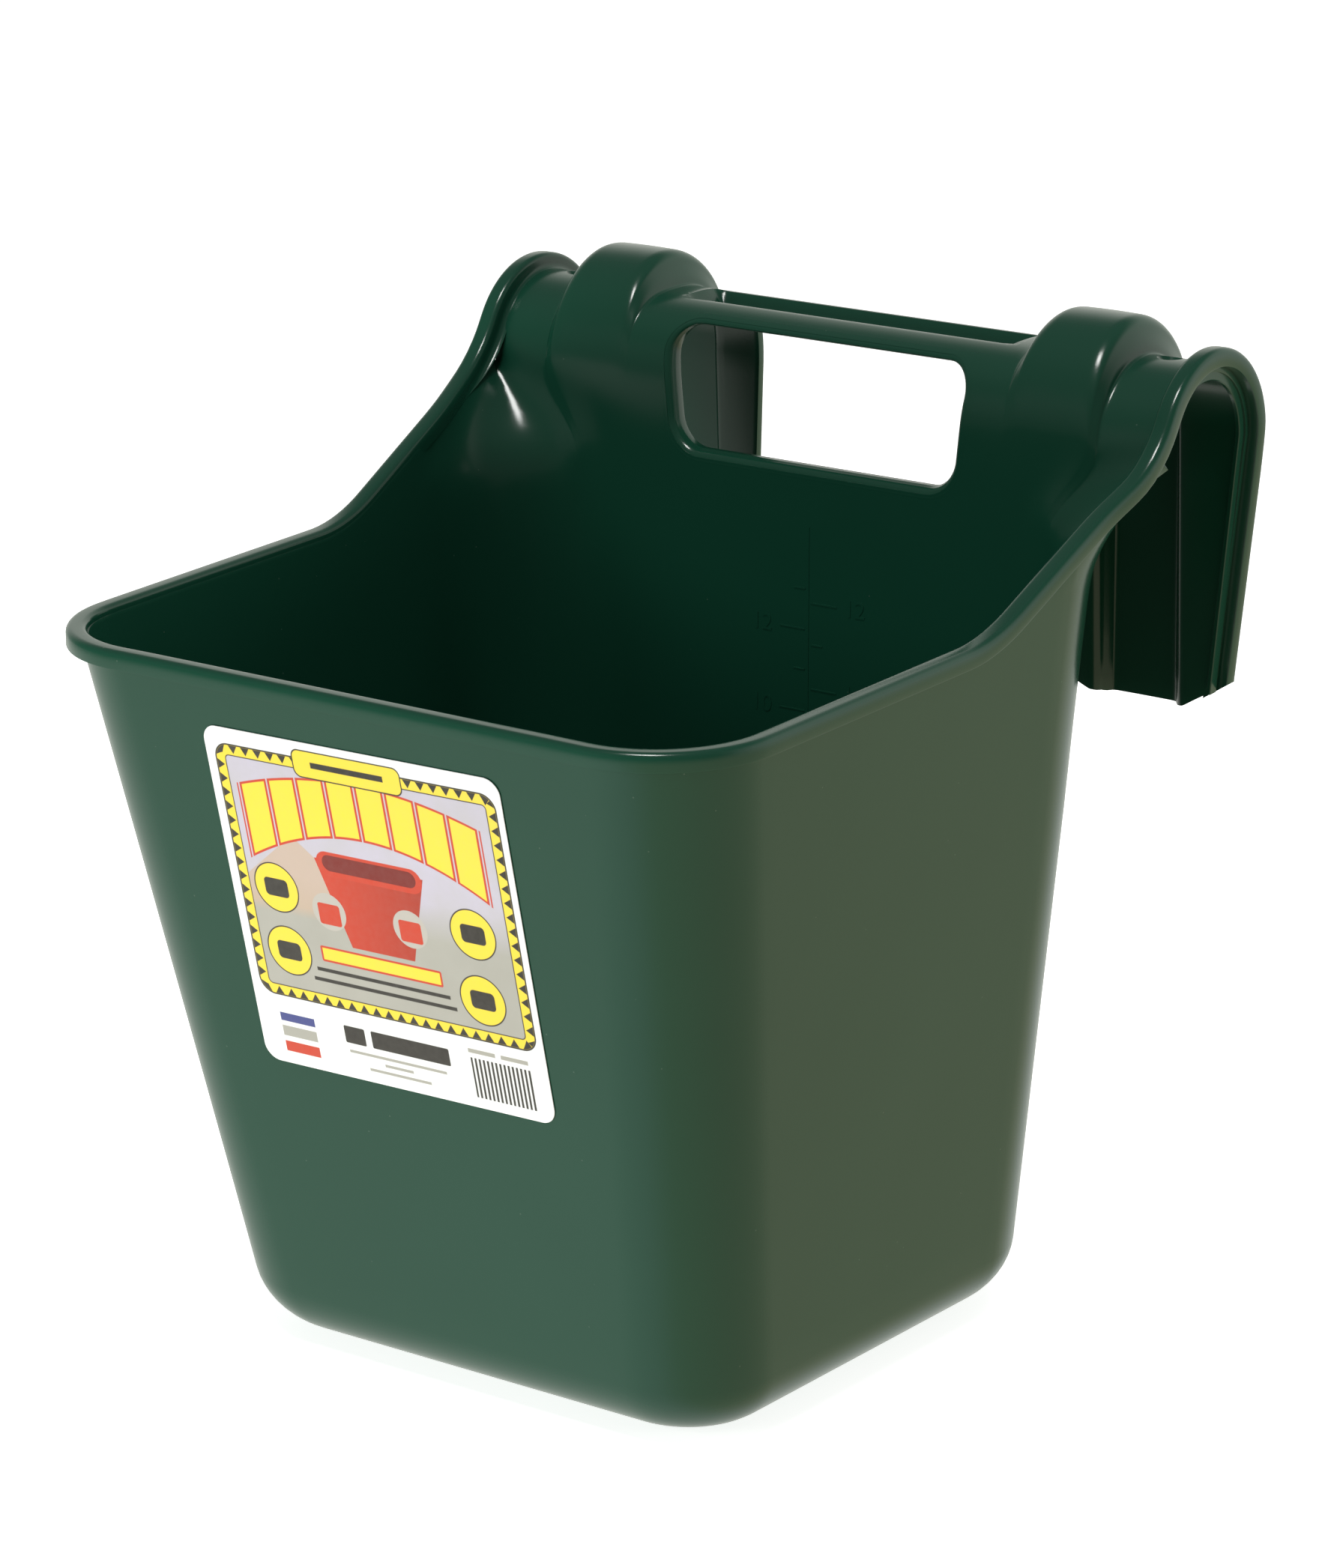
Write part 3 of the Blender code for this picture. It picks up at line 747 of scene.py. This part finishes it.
def window_roll_mesh():
    """The rolled edge round the hand window and the lip behind it."""
    outline = tapered(rounded_rectangle(WINDOW_HALF, WINDOW_BOTTOM, WINDOW_TOP, WINDOW_RADIUS, 14))
    outline = dense_outline(outline, 2.0)
    rear = WALL + WINDOW_LIP
    section = [(WINDOW_ROLL + 1.2, 0.06), (WINDOW_ROLL + 0.5, -0.03)]
    for i in range(8):
        a = math.radians(90.0 * i / 7)
        section.append((WINDOW_ROLL * (1.0 - math.sin(a)), WINDOW_ROLL * (1.0 - math.cos(a))))
    section += [(-0.25, WINDOW_ROLL + 0.6), (-0.3, WINDOW_ROLL + 1.1), (0.0, WINDOW_ROLL + 1.5)]
    section += [(0.0, rear - 0.6), (0.2, rear - 0.15), (0.6, rear)]
    section += [(LIP_WALL - 0.6, rear), (LIP_WALL, rear - 0.5), (LIP_WALL, WALL - 0.6)]
    section += [(WINDOW_ROLL + 1.0, WALL - 0.8)]
    bm = bmesh.new()
    rings = []
    for (x, z), out in outline:
        ring = []
        for d, depth in section:
            px = x + out[0] * d
            pz = z + out[1] * d
            ring.append(bm.verts.new(placed((px, panel_y(pz) + depth, pz))))
        rings.append(ring)
    loft(bm, rings + rings[:1])
    return closed_mesh("window_roll", bm)


def window_cut_mesh():
    """A prism a little larger than the window; the rolled edge covers its cut."""
    grow = WINDOW_ROLL * 0.7
    outline = rounded_rectangle(WINDOW_HALF + grow, WINDOW_BOTTOM - grow, WINDOW_TOP + grow,
                                WINDOW_RADIUS + grow, 14)
    outline = tapered(outline)
    bm = bmesh.new()
    wall = back_y(WINDOW_TOP)
    front = [bm.verts.new(placed((x, wall - WINDOW_CUT_FRONT, z))) for (x, z), _ in outline]
    face = bm.faces.new(front)
    moved = bmesh.ops.extrude_face_region(bm, geom=[face])["geom"]
    verts = [g for g in moved if isinstance(g, bmesh.types.BMVert)]
    bmesh.ops.translate(bm, verts=verts, vec=Vector((0.0, WINDOW_CUT_DEPTH * MM, 0.0)))
    return closed_mesh("window_cut", bm)


def screw_cut_mesh(x):
    """Cutter for a screw hole with a shallow dish round its mouth."""
    bm = bmesh.new()
    top = SADDLE_TOP + 1.0
    narrow = SCREW_HOLE_RADIUS - 1.2
    profile = ((narrow, top - 16.0), (narrow, top - 2.6), (SCREW_HOLE_RADIUS + 1.6, top))
    rings = []
    for r, z in profile:
        ring = []
        for i in range(SCREW_HOLE_STEPS):
            a = math.tau * i / SCREW_HOLE_STEPS
            ring.append(bm.verts.new(placed((x + r * math.cos(a), SCREW_HOLE_Y + r * math.sin(a), z))))
        rings.append(ring)
    loft(bm, rings)
    bm.faces.new(rings[0])
    bm.faces.new(rings[-1])
    return closed_mesh("screw_cut", bm)


def cut(obj, mesh):
    """Add a Boolean that cuts a mesh out of obj. Returns the cutter."""
    tool = link(mesh.name, mesh)
    mod = obj.modifiers.new(mesh.name, "BOOLEAN")
    mod.operation = "DIFFERENCE"
    mod.solver = "EXACT"
    mod.object = tool
    return tool


def applied(obj):
    """The object's mesh with its modifiers worked out."""
    graph = bpy.context.evaluated_depsgraph_get()
    mesh = bpy.data.meshes.new_from_object(obj.evaluated_get(graph))
    mesh.name = obj.name
    obj.modifiers.clear()
    obj.data = mesh
    return obj


def shade(obj, degrees):
    obj.data.shade_smooth()
    obj.data.set_sharp_from_angle(angle=math.radians(degrees))


def build_shell():
    """The moulding's wall, with the window and screw holes cut."""
    shell = mirrored(link("moulding_shell", skin_mesh()))
    solid = shell.modifiers.new("Wall", "SOLIDIFY")
    solid.thickness = WALL * MM
    solid.offset = 1.0
    solid.use_even_offset = True
    solid.use_quality_normals = True
    edge = shell.modifiers.new("Edges", "BEVEL")
    edge.width = 0.7 * MM
    edge.segments = 3
    edge.limit_method = "ANGLE"
    edge.angle_limit = math.radians(55.0)
    edge.use_clamp_overlap = True
    tools = [cut(shell, window_cut_mesh())]
    for side in (-1, 1):
        tools.append(cut(shell, screw_cut_mesh(side * SCREW_HOLE_X)))
    applied(shell)
    for tool in tools:
        bpy.data.objects.remove(tool, do_unlink=True)
    shade(shell, 38.0)
    return shell


def inner_area(z):
    """Area inside the tub at height z, in square millimetres; rough in the base fillet."""
    inset = WALL + max(0.0, (BASE_FILLET - z) * 0.3)
    depth = back_y(z) - front_y(z) - 2 * inset
    width = half_width(front_y(z), z) + half_width(back_y(z), z) - 2 * inset
    front = FRONT_RADIUS + FRONT_RADIUS_GROWTH * z - inset
    back = BACK_RADIUS + BACK_RADIUS_GROWTH * z - inset
    return width * depth - (2.0 - math.pi / 2) * (front ** 2 + back ** 2)


def height_of(litres):
    """Height to which that volume fills the tub."""
    z, volume, step = WALL, 0.0, 0.5
    while volume < litres * 1e6:
        volume += inner_area(z) * step
        z += step
    return z


def add_bar(bm, x0, x1, z0, z1):
    """A low bar on the inside of the back wall."""
    corners = ((x0, z0), (x1, z0), (x1, z1), (x0, z1))
    foot = [bm.verts.new(placed((x, back_y(z) - WALL + 0.3, z))) for x, z in corners]
    cx, cz = (x0 + x1) / 2, (z0 + z1) / 2
    top = []
    for x, z in corners:
        tx = x - math.copysign(0.15, x - cx)
        tz = z - math.copysign(0.15, z - cz)
        top.append(bm.verts.new(placed((tx, back_y(tz) - WALL - MARK_PROUD, tz))))
    bm.faces.new(top)
    bm.faces.new(foot[::-1])
    loft(bm, (foot, top))


def build_marks():
    """Raised volume marks: quarts to the left of a thin line, litres to the right."""
    bm = bmesh.new()
    add_bar(bm, -MARK_WIDTH / 2, MARK_WIDTH / 2, height_of(1.0), MARK_LINE_TOP)
    for side, unit, most in ((-1, QUART, 14), (1, 1.0, 13)):
        for n in range(2, most):
            z = height_of(n * unit)
            reach = MARK_LONG if n % 2 == 0 else MARK_SHORT
            x0, x1 = sorted((side * 1.2, side * reach))
            add_bar(bm, x0, x1, z - MARK_WIDTH / 2, z + MARK_WIDTH / 2)
    marks = link("volume_marks", closed_mesh("volume_marks", bm))
    numbers = [marks]
    for side, unit in ((-1, QUART), (1, 1.0)):
        for n in (2, 4, 6, 8, 10, 12):
            numbers.append(number_mesh(str(n), side * NUMBER_X, height_of(n * unit)))
    return joined(numbers, "volume_marks")


def number_mesh(text, x, z):
    """A raised number on the inside of the back wall."""
    curve = bpy.data.curves.new("number", "FONT")
    curve.body = text
    curve.size = NUMBER_SIZE * MM
    curve.extrude = MARK_PROUD * MM
    curve.align_x = "CENTER"
    curve.align_y = "CENTER"
    obj = link("number", curve)
    obj.rotation_euler = (math.radians(90.0) - math.atan(BACK_DRAFT), 0.0, 0.0)
    obj.location = placed((x, back_y(z) - WALL, z))
    bpy.context.view_layer.update()
    graph = bpy.context.evaluated_depsgraph_get()
    mesh = bpy.data.meshes.new_from_object(obj.evaluated_get(graph))
    mesh.transform(obj.matrix_world)
    bpy.data.objects.remove(obj, do_unlink=True)
    return link("number", mesh)


def joined(objects, name):
    """One object from several."""
    bm = bmesh.new()
    for obj in objects:
        bm.from_mesh(obj.data)
    for obj in objects:
        bpy.data.objects.remove(obj, do_unlink=True)
    return link(name, write_mesh(name, bm))


def build_moulding():
    """Shell, rim bead, ribs and rolled window edge as one piece."""
    shell = build_shell()
    bead_mesh = sweep_mesh("rim_bead", eased(rim_path(), 4), bead_section, True, LEG_CUT_SLOPE)
    bead = mirrored(link("rim_bead", bead_mesh))
    rib = mirrored(link("hook_rib", sweep_mesh("hook_rib", rib_path(), rib_section, False)))
    roll = link("window_roll", window_roll_mesh())
    pieces = [shell]
    for obj in (bead, rib, roll):
        applied(obj)
        shade(obj, 32.0)
        pieces.append(obj)
    bpy.ops.object.select_all(action="DESELECT")
    for obj in pieces:
        obj.select_set(True)
    bpy.context.view_layer.objects.active = shell
    bpy.ops.object.join()
    shell.name = "feeder_body"
    return shell


# ------------------------------------------------------------------ materials

class Nodes:
    """Short calls for building a node tree."""

    def __init__(self, name):
        self.material = bpy.data.materials.new(name)
        self.material.use_nodes = True
        self.tree = self.material.node_tree
        self.shader = self.tree.nodes["Principled BSDF"]

    def new(self, kind, **settings):
        node = self.tree.nodes.new(kind)
        for key, value in settings.items():
            setattr(node, key, value)
        return node

    def wire(self, a, b):
        self.tree.links.new(a, b)

    def feed(self, socket, value):
        """A number goes on the socket, anything else is a link."""
        if isinstance(value, (int, float, tuple)):
            socket.default_value = value
        else:
            self.wire(value, socket)

    def math(self, operation, a, b=0.0):
        node = self.new("ShaderNodeMath", operation=operation)
        self.feed(node.inputs[0], a)
        self.feed(node.inputs[1], b)
        return node.outputs[0]

    def noise(self, scale, detail, vector):
        node = self.new("ShaderNodeTexNoise")
        node.inputs["Scale"].default_value = scale
        node.inputs["Detail"].default_value = detail
        self.wire(vector, node.inputs["Vector"])
        return node.outputs["Fac"]

    def ramp(self, factor, low, high, a, b):
        """Factor from low to high, mapped to a to b."""
        node = self.new("ShaderNodeMapRange")
        self.feed(node.inputs["Value"], factor)
        node.inputs["From Min"].default_value = low
        node.inputs["From Max"].default_value = high
        node.inputs["To Min"].default_value = a
        node.inputs["To Max"].default_value = b
        return node.outputs["Result"]

    def blend(self, factor, a, b):
        node = self.new("ShaderNodeMix", data_type="RGBA")
        self.feed(node.inputs["Factor"], factor)
        self.feed(node.inputs["A"], a)
        self.feed(node.inputs["B"], b)
        return node.outputs["Result"]

    def bump(self, height, strength, distance, normal=None):
        node = self.new("ShaderNodeBump")
        node.inputs["Strength"].default_value = strength
        node.inputs["Distance"].default_value = distance
        self.wire(height, node.inputs["Height"])
        if normal is not None:
            self.wire(normal, node.inputs["Normal"])
        return node.outputs["Normal"]


def plastic_material():
    """Dark green moulded polyethylene: glossy, faintly wavy, with specks of dust."""
    n = Nodes("green_plastic")
    place = n.new("ShaderNodeTexCoord").outputs["Object"]
    cloud = n.noise(9.0, 3.0, place)
    base = n.blend(cloud, (0.0056, 0.044, 0.0255, 1.0), (0.0068, 0.052, 0.03, 1.0))
    speck = n.new("ShaderNodeTexVoronoi")
    speck.inputs["Scale"].default_value = 95.0
    n.wire(place, speck.inputs["Vector"])
    dust = n.math("LESS_THAN", speck.outputs["Distance"], 0.028)
    base = n.blend(n.math("MULTIPLY", dust, 0.16), base, (0.22, 0.27, 0.22, 1.0))
    n.wire(base, n.shader.inputs["Base Color"])
    n.wire(n.ramp(cloud, 0.3, 0.7, 0.18, 0.215), n.shader.inputs["Roughness"])
    n.shader.inputs["IOR"].default_value = 1.5
    waves = n.bump(n.noise(16.0, 1.0, place), 0.16, 0.0012)
    grain = n.bump(n.noise(1300.0, 2.0, place), 0.12, 0.0001, waves)
    n.wire(grain, n.shader.inputs["Normal"])
    return n.material


WHITE = (0.83, 0.84, 0.84, 1.0)
YELLOW = (0.84, 0.62, 0.045, 1.0)
DARK = (0.028, 0.024, 0.02, 1.0)
RED = (0.52, 0.045, 0.018, 1.0)
DEEP_RED = (0.17, 0.014, 0.01, 1.0)
GREY = (0.36, 0.35, 0.31, 1.0)
BLUE = (0.05, 0.06, 0.22, 1.0)


class Print(Nodes):
    """A flat picture painted with shapes, in millimetres from the label's middle."""

    def __init__(self, name, colour):
        super().__init__(name)
        coords = self.new("ShaderNodeTexCoord").outputs["Object"]
        split = self.new("ShaderNodeSeparateXYZ")
        self.wire(coords, split.inputs[0])
        self.coords = coords
        self.x = self.math("MULTIPLY", split.outputs["X"], 1000.0)
        self.z = self.math("MULTIPLY", split.outputs["Z"], 1000.0)
        self.colour = colour

    def both(self, a, b):
        return self.math("MULTIPLY", a, b)

    def beyond(self, along, middle, half):
        """How far a coordinate lies outside a band, negative inside."""
        return self.math("SUBTRACT", self.math("ABSOLUTE", self.math("SUBTRACT", along, middle)), half)

    def distance(self, cx, cz, half_x, half_z, corner=0.0):
        """Signed distance from a rounded rectangle, negative inside."""
        dx = self.beyond(self.x, cx, half_x - corner)
        dz = self.beyond(self.z, cz, half_z - corner)
        ox = self.math("MAXIMUM", dx, 0.0)
        oz = self.math("MAXIMUM", dz, 0.0)
        far = self.math("SQRT", self.math("ADD", self.both(ox, ox), self.both(oz, oz)))
        near = self.math("MINIMUM", self.math("MAXIMUM", dx, dz), 0.0)
        return self.math("SUBTRACT", self.math("ADD", far, near), corner)

    def inside(self, distance, limit=0.0):
        """Mask of what lies below a distance, with a narrow soft edge."""
        return self.ramp(distance, limit + 0.12, limit - 0.12, 0.0, 1.0)

    def paint(self, mask, colour):
        self.colour = self.blend(mask, self.colour, colour)

    def box(self, cx, cz, half_x, half_z, colour, corner=0.0):
        self.paint(self.inside(self.distance(cx, cz, half_x, half_z, corner)), colour)

    def disc(self, cx, cz, radius, colour):
        self.box(cx, cz, radius, radius, colour, radius)


def paint_border(p):
    """Yellow band with dark teeth, and the picture's background inside it."""
    frame_d = p.distance(PICTURE_X, PICTURE_Z, PICTURE_HALF_X, PICTURE_HALF_Z, 6.0)
    p.paint(p.inside(frame_d), DARK)
    p.paint(p.inside(frame_d, -0.6), YELLOW)
    depth = p.math("MULTIPLY", frame_d, -1.0)
    ax = p.beyond(p.x, PICTURE_X, PICTURE_HALF_X)
    az = p.beyond(p.z, PICTURE_Z, PICTURE_HALF_Z)
    level = p.math("GREATER_THAN", az, ax)
    run = p.math("ADD", p.both(level, p.x), p.both(p.math("SUBTRACT", 1.0, level), p.z))
    pitch = 5.2
    wave = p.math("ABSOLUTE", p.math("SUBTRACT", p.math("FLOORED_MODULO", run, pitch), pitch / 2))
    tooth = p.math("SUBTRACT", wave, p.math("MULTIPLY", p.math("SUBTRACT", 3.6, depth), 0.62))
    p.paint(p.both(p.inside(tooth), p.inside(frame_d, -0.6)), DARK)
    p.paint(p.inside(frame_d, -4.1), DARK)
    inner = p.inside(frame_d, -4.5)
    sky = p.blend(p.ramp(p.z, -2.0, 12.0, 0.0, 1.0), GREY, (0.5, 0.47, 0.56, 1.0))
    soft = p.noise(60.0, 4.0, p.coords)
    sky = p.blend(p.ramp(soft, 0.35, 0.65, 0.0, 0.35), sky, (0.42, 0.41, 0.37, 1.0))
    p.paint(inner, sky)
    slope = p.math("ADD", p.math("MULTIPLY", p.math("ABSOLUTE", p.math("ADD", p.x, 31.0)), 0.8), p.z)
    hill = p.both(p.inside(slope, 27.0), p.ramp(p.z, -4.0, 0.0, 0.0, 1.0))
    p.paint(p.both(p.both(hill, inner), 0.8), (0.5, 0.37, 0.27, 1.0))


def paint_title(p):
    """An arched row of plain yellow blocks with red edges, where the title stood."""
    bend = p.math("MULTIPLY", p.both(p.x, p.x), 1.0 / 2500.0)
    top = p.math("ADD", p.z, p.math("MULTIPLY", bend, 8.0))
    low = p.math("ADD", p.z, p.math("MULTIPLY", bend, 14.5))
    upper = p.math("SUBTRACT", top, 50.5)
    lower = p.math("SUBTRACT", 31.0, low)
    pitch = 12.4
    along = p.math("SUBTRACT", p.math("FLOORED_MODULO", p.x, pitch), pitch / 2)
    sides = p.math("SUBTRACT", p.math("ABSOLUTE", along), 5.0)
    ends = p.math("SUBTRACT", p.math("ABSOLUTE", p.x), 49.6)
    block = p.math("MAXIMUM", p.math("MAXIMUM", upper, lower), p.math("MAXIMUM", sides, ends))
    p.paint(p.inside(block, 0.9), RED)
    p.paint(p.inside(block), YELLOW)


def paint_tub(p):
    """A plain red tub with a dark mouth, and two grey discs with red middles on it."""
    lean = p.math("MULTIPLY", p.math("SUBTRACT", 20.0, p.z), 0.3)
    sides = p.math("ADD", p.math("SUBTRACT", p.math("ABSOLUTE", p.x), 22.5), lean)
    ends = p.beyond(p.z, 4.5, 16.0)
    body = p.inside(p.math("MAXIMUM", sides, ends))
    shade_side = p.ramp(p.x, -20.0, 20.0, 0.0, 0.75)
    p.paint(body, p.blend(shade_side, RED, (0.3, 0.03, 0.014, 1.0)))
    p.box(0.0, 19.0, 22.0, 4.6, RED, 4.6)
    p.box(0.0, 19.4, 19.5, 3.0, DEEP_RED, 3.0)
    for cx in (-20.5, 13.5):
        p.disc(cx, 0.5, 7.0, (0.45, 0.42, 0.38, 1.0))
        p.box(cx, -0.5, 4.6, 4.0, RED, 1.0)


def paint_badges(p):
    """Four yellow discs, each with a plain dark pip."""
    for cx, cz in ((-41.8, 5.7), (-41.4, -18.1), (39.9, 3.7), (39.2, -20.9)):
        p.disc(cx, cz, 9.4, DARK)
        p.disc(cx, cz, 8.9, YELLOW)
        p.box(cx, cz, 5.0, 3.4, DARK, 1.6)


def paint_words(p):
    """Plain bars where the wording stood."""
    p.box(-1.7, 55.3, 22.6, 5.2, DARK, 3.0)
    p.box(-1.7, 55.3, 22.1, 4.7, YELLOW, 2.6)
    p.box(-1.7, 55.3, 15.0, 1.1, DARK)
    p.box(-2.0, -16.2, 25.4, 3.0, RED, 0.8)
    p.box(-2.0, -16.2, 24.6, 2.2, YELLOW)
    p.box(-2.5, -22.6, 28.0, 0.7, DARK)
    p.box(-2.5, -26.6, 30.0, 0.7, DARK)
    p.box(-44.0, -45.0, 7.4, 1.6, BLUE)
    p.box(-44.0, -50.4, 7.4, 2.0, GREY)
    p.box(-44.0, -56.4, 7.4, 2.0, RED)
    p.box(-19.5, -46.2, 4.4, 3.3, DARK, 0.6)
    p.box(4.0, -46.2, 16.4, 3.3, DARK, 0.6)
    p.box(-2.5, -52.6, 20.5, 0.55, GREY)
    p.box(-2.5, -55.4, 6.0, 0.55, GREY)
    p.box(-2.5, -58.2, 13.0, 0.55, GREY)
    p.box(34.5, -41.4, 5.6, 0.8, GREY)
    p.box(48.0, -41.4, 5.6, 0.8, GREY)
    area = p.inside(p.distance(42.0, -51.6, 12.6, 7.6))
    bars = p.math("ABSOLUTE", p.math("SUBTRACT", p.math("FLOORED_MODULO", p.x, 1.7), 0.85))
    p.paint(p.both(area, p.inside(bars, 0.45)), DARK)


def label_material():
    """Printed white sheet with a satin face."""
    p = Print("printed_label", WHITE)
    paint_border(p)
    paint_title(p)
    paint_tub(p)
    paint_badges(p)
    paint_words(p)
    fibre = p.noise(420.0, 4.0, p.coords)
    tone = p.ramp(fibre, 0.3, 0.7, 0.0, 0.05)
    p.wire(p.blend(tone, p.colour, GREY), p.shader.inputs["Base Color"])
    p.wire(p.ramp(fibre, 0.3, 0.7, 0.3, 0.38), p.shader.inputs["Roughness"])
    p.wire(p.bump(p.noise(30.0, 2.0, p.coords), 0.15, 0.0008), p.shader.inputs["Normal"])
    return p.material


def label_mesh():
    """Thin rounded sheet, with a slight round to its front edge."""
    outline = rounded_rectangle(LABEL_WIDTH / 2, -LABEL_HEIGHT / 2, LABEL_HEIGHT / 2, LABEL_ROUND, 12)
    bm = bmesh.new()
    rings = []
    section = ((0.0, 0.0), (0.0, -LABEL_THICK * 0.6), (0.08, -LABEL_THICK * 0.9), (0.2, -LABEL_THICK))
    for inset, y in section:
        ring = []
        for (x, z), out in outline:
            ring.append(bm.verts.new(Vector((x - out[0] * inset, y, z - out[1] * inset)) * MM))
        rings.append(ring)
    loft(bm, rings)
    bm.faces.new(rings[0])
    bm.faces.new(rings[-1])
    return closed_mesh("label_sheet", bm)


def build_label():
    obj = link("label_sheet", label_mesh())
    slope = math.atan(FRONT_DRAFT)
    obj.rotation_mode = "YXZ"
    obj.rotation_euler = (slope, math.radians(LABEL_TILT), 0.0)
    obj.location = placed((LABEL_X, front_y(LABEL_Z) - LABEL_GAP / math.cos(slope), LABEL_Z))
    shade(obj, 30.0)
    return obj


# ---------------------------------------------------------- stage and camera

def add_camera():
    """The camera, turned from the front towards the right and a little above."""
    data = bpy.data.cameras.new("camera")
    data.lens = CAMERA_LENS
    data.sensor_width = 36.0
    data.clip_start = 0.05
    data.clip_end = 30.0
    camera = link("camera", data)
    azimuth = math.radians(CAMERA_AZIMUTH)
    elevation = math.radians(CAMERA_ELEVATION)
    back = Vector((math.sin(azimuth) * math.cos(elevation), -math.cos(azimuth) * math.cos(elevation),
                   math.sin(elevation)))
    camera.location = placed(CAMERA_PLACE)
    camera.rotation_euler = (-back).to_track_quat("-Z", "Y").to_euler()
    bpy.context.scene.camera = camera


def add_floor():
    """A wide glowing white floor. Gloss, soft light and shadows pass it by."""
    bm = bmesh.new()
    corners = ((-1, -1), (1, -1), (1, 1), (-1, 1))
    bm.faces.new([bm.verts.new((x * FLOOR_HALF, y * FLOOR_HALF, -0.0005)) for x, y in corners])
    floor = link("floor", write_mesh("floor", bm))
    floor.visible_glossy = False
    floor.visible_diffuse = False
    floor.visible_shadow = False
    n = Nodes("floor_paper")
    place = n.new("ShaderNodeTexCoord").outputs["Object"]
    tone = n.ramp(n.noise(3.0, 2.0, place), 0.3, 0.7, 0.0, 1.0)
    n.wire(n.blend(tone, (0.9, 0.9, 0.89, 1.0), (0.92, 0.92, 0.91, 1.0)), n.shader.inputs["Base Color"])
    n.shader.inputs["Roughness"].default_value = 0.9
    n.shader.inputs["Specular IOR Level"].default_value = 0.1
    n.shader.inputs["Emission Color"].default_value = (1.0, 1.0, 1.0, 1.0)
    n.shader.inputs["Emission Strength"].default_value = FLOOR_GLOW
    floor.data.materials.append(n.material)


def add_light(name, place, target, size_x, size_y, power, colour, seen):
    """A softbox at place, turned to target; seen says whether gloss mirrors it."""
    data = bpy.data.lights.new(name, "AREA")
    data.shape = "RECTANGLE"
    data.size = size_x
    data.size_y = size_y
    data.energy = power
    data.color = colour
    lamp = link(name, data)
    lamp.visible_glossy = seen
    lamp.location = place
    lamp.rotation_euler = (Vector(target) - Vector(place)).to_track_quat("-Z", "Y").to_euler()


def world_range(tree, value, low, high):
    """A direction's coordinate from low to high, mapped to 0 to 1."""
    node = tree.nodes.new("ShaderNodeMapRange")
    node.interpolation_type = "SMOOTHSTEP"
    node.inputs["From Min"].default_value = low
    node.inputs["From Max"].default_value = high
    tree.links.new(value, node.inputs["Value"])
    return node.outputs["Result"]


def world_blend(tree, factor, a, b):
    node = tree.nodes.new("ShaderNodeMix")
    node.data_type = "RGBA"
    tree.links.new(factor, node.inputs["Factor"])
    for socket, value in ((node.inputs["A"], a), (node.inputs["B"], b)):
        if isinstance(value, tuple):
            socket.default_value = value
        else:
            tree.links.new(value, socket)
    return node.outputs["Result"]


def add_world():
    """A pale table below, and a room dark in front and pale behind."""
    world = bpy.data.worlds.new("studio")
    bpy.context.scene.world = world
    world.use_nodes = True
    tree = world.node_tree
    coords = tree.nodes.new("ShaderNodeTexCoord")
    split = tree.nodes.new("ShaderNodeSeparateXYZ")
    tree.links.new(coords.outputs["Generated"], split.inputs[0])
    x, y, z = (split.outputs[axis] for axis in "XYZ")
    room = world_blend(tree, world_range(tree, y, -0.2, 0.7), ROOM_FRONT, ROOM_BACK)
    above = world_blend(tree, world_range(tree, z, 0.35, 0.8), room, ROOM_TOP)
    table = world_blend(tree, world_range(tree, x, -0.1, 0.4), TABLE_FRONT, TABLE_RIGHT)
    edge = world_range(tree, z, -0.12, -0.34)
    tree.links.new(world_blend(tree, edge, above, table), tree.nodes["Background"].inputs["Color"])


def add_studio():
    add_world()
    middle = (0.0, 0.0, 0.18)
    add_light("key", (0.15, -0.75, 2.3), middle, 0.6, 0.5, 24.0, (1.0, 1.0, 0.98), True)
    add_light("fill", (-1.0, -2.4, 0.9), middle, 1.4, 0.8, 20.0, (1.0, 1.0, 0.99), False)
    add_light("bounce", (-0.8, -2.1, -0.8), middle, 1.6, 1.0, 52.0, (1.0, 1.0, 0.98), False)
    add_light("side", (2.4, 0.9, 0.3), middle, 1.2, 1.0, 26.0, (1.0, 1.0, 0.96), False)
    add_light("top", (0.3, 1.0, 2.4), middle, 1.0, 0.8, 8.0, (1.0, 1.0, 1.0), False)
    scene = bpy.context.scene
    scene.view_settings.view_transform = "Standard"
    scene.view_settings.look = "None"


def main():
    plastic = plastic_material()
    body = build_moulding()
    body.data.materials.clear()
    body.data.materials.append(plastic)
    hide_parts("feeder_moulding")
    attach(body, "root")
    marks = build_marks()
    shade(marks, 30.0)
    marks.data.materials.append(plastic)
    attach(marks, "root")
    label = build_label()
    label.data.materials.append(label_material())
    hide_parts("front_label")
    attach(label, "root")
    add_floor()
    add_camera()
    add_studio()


main()
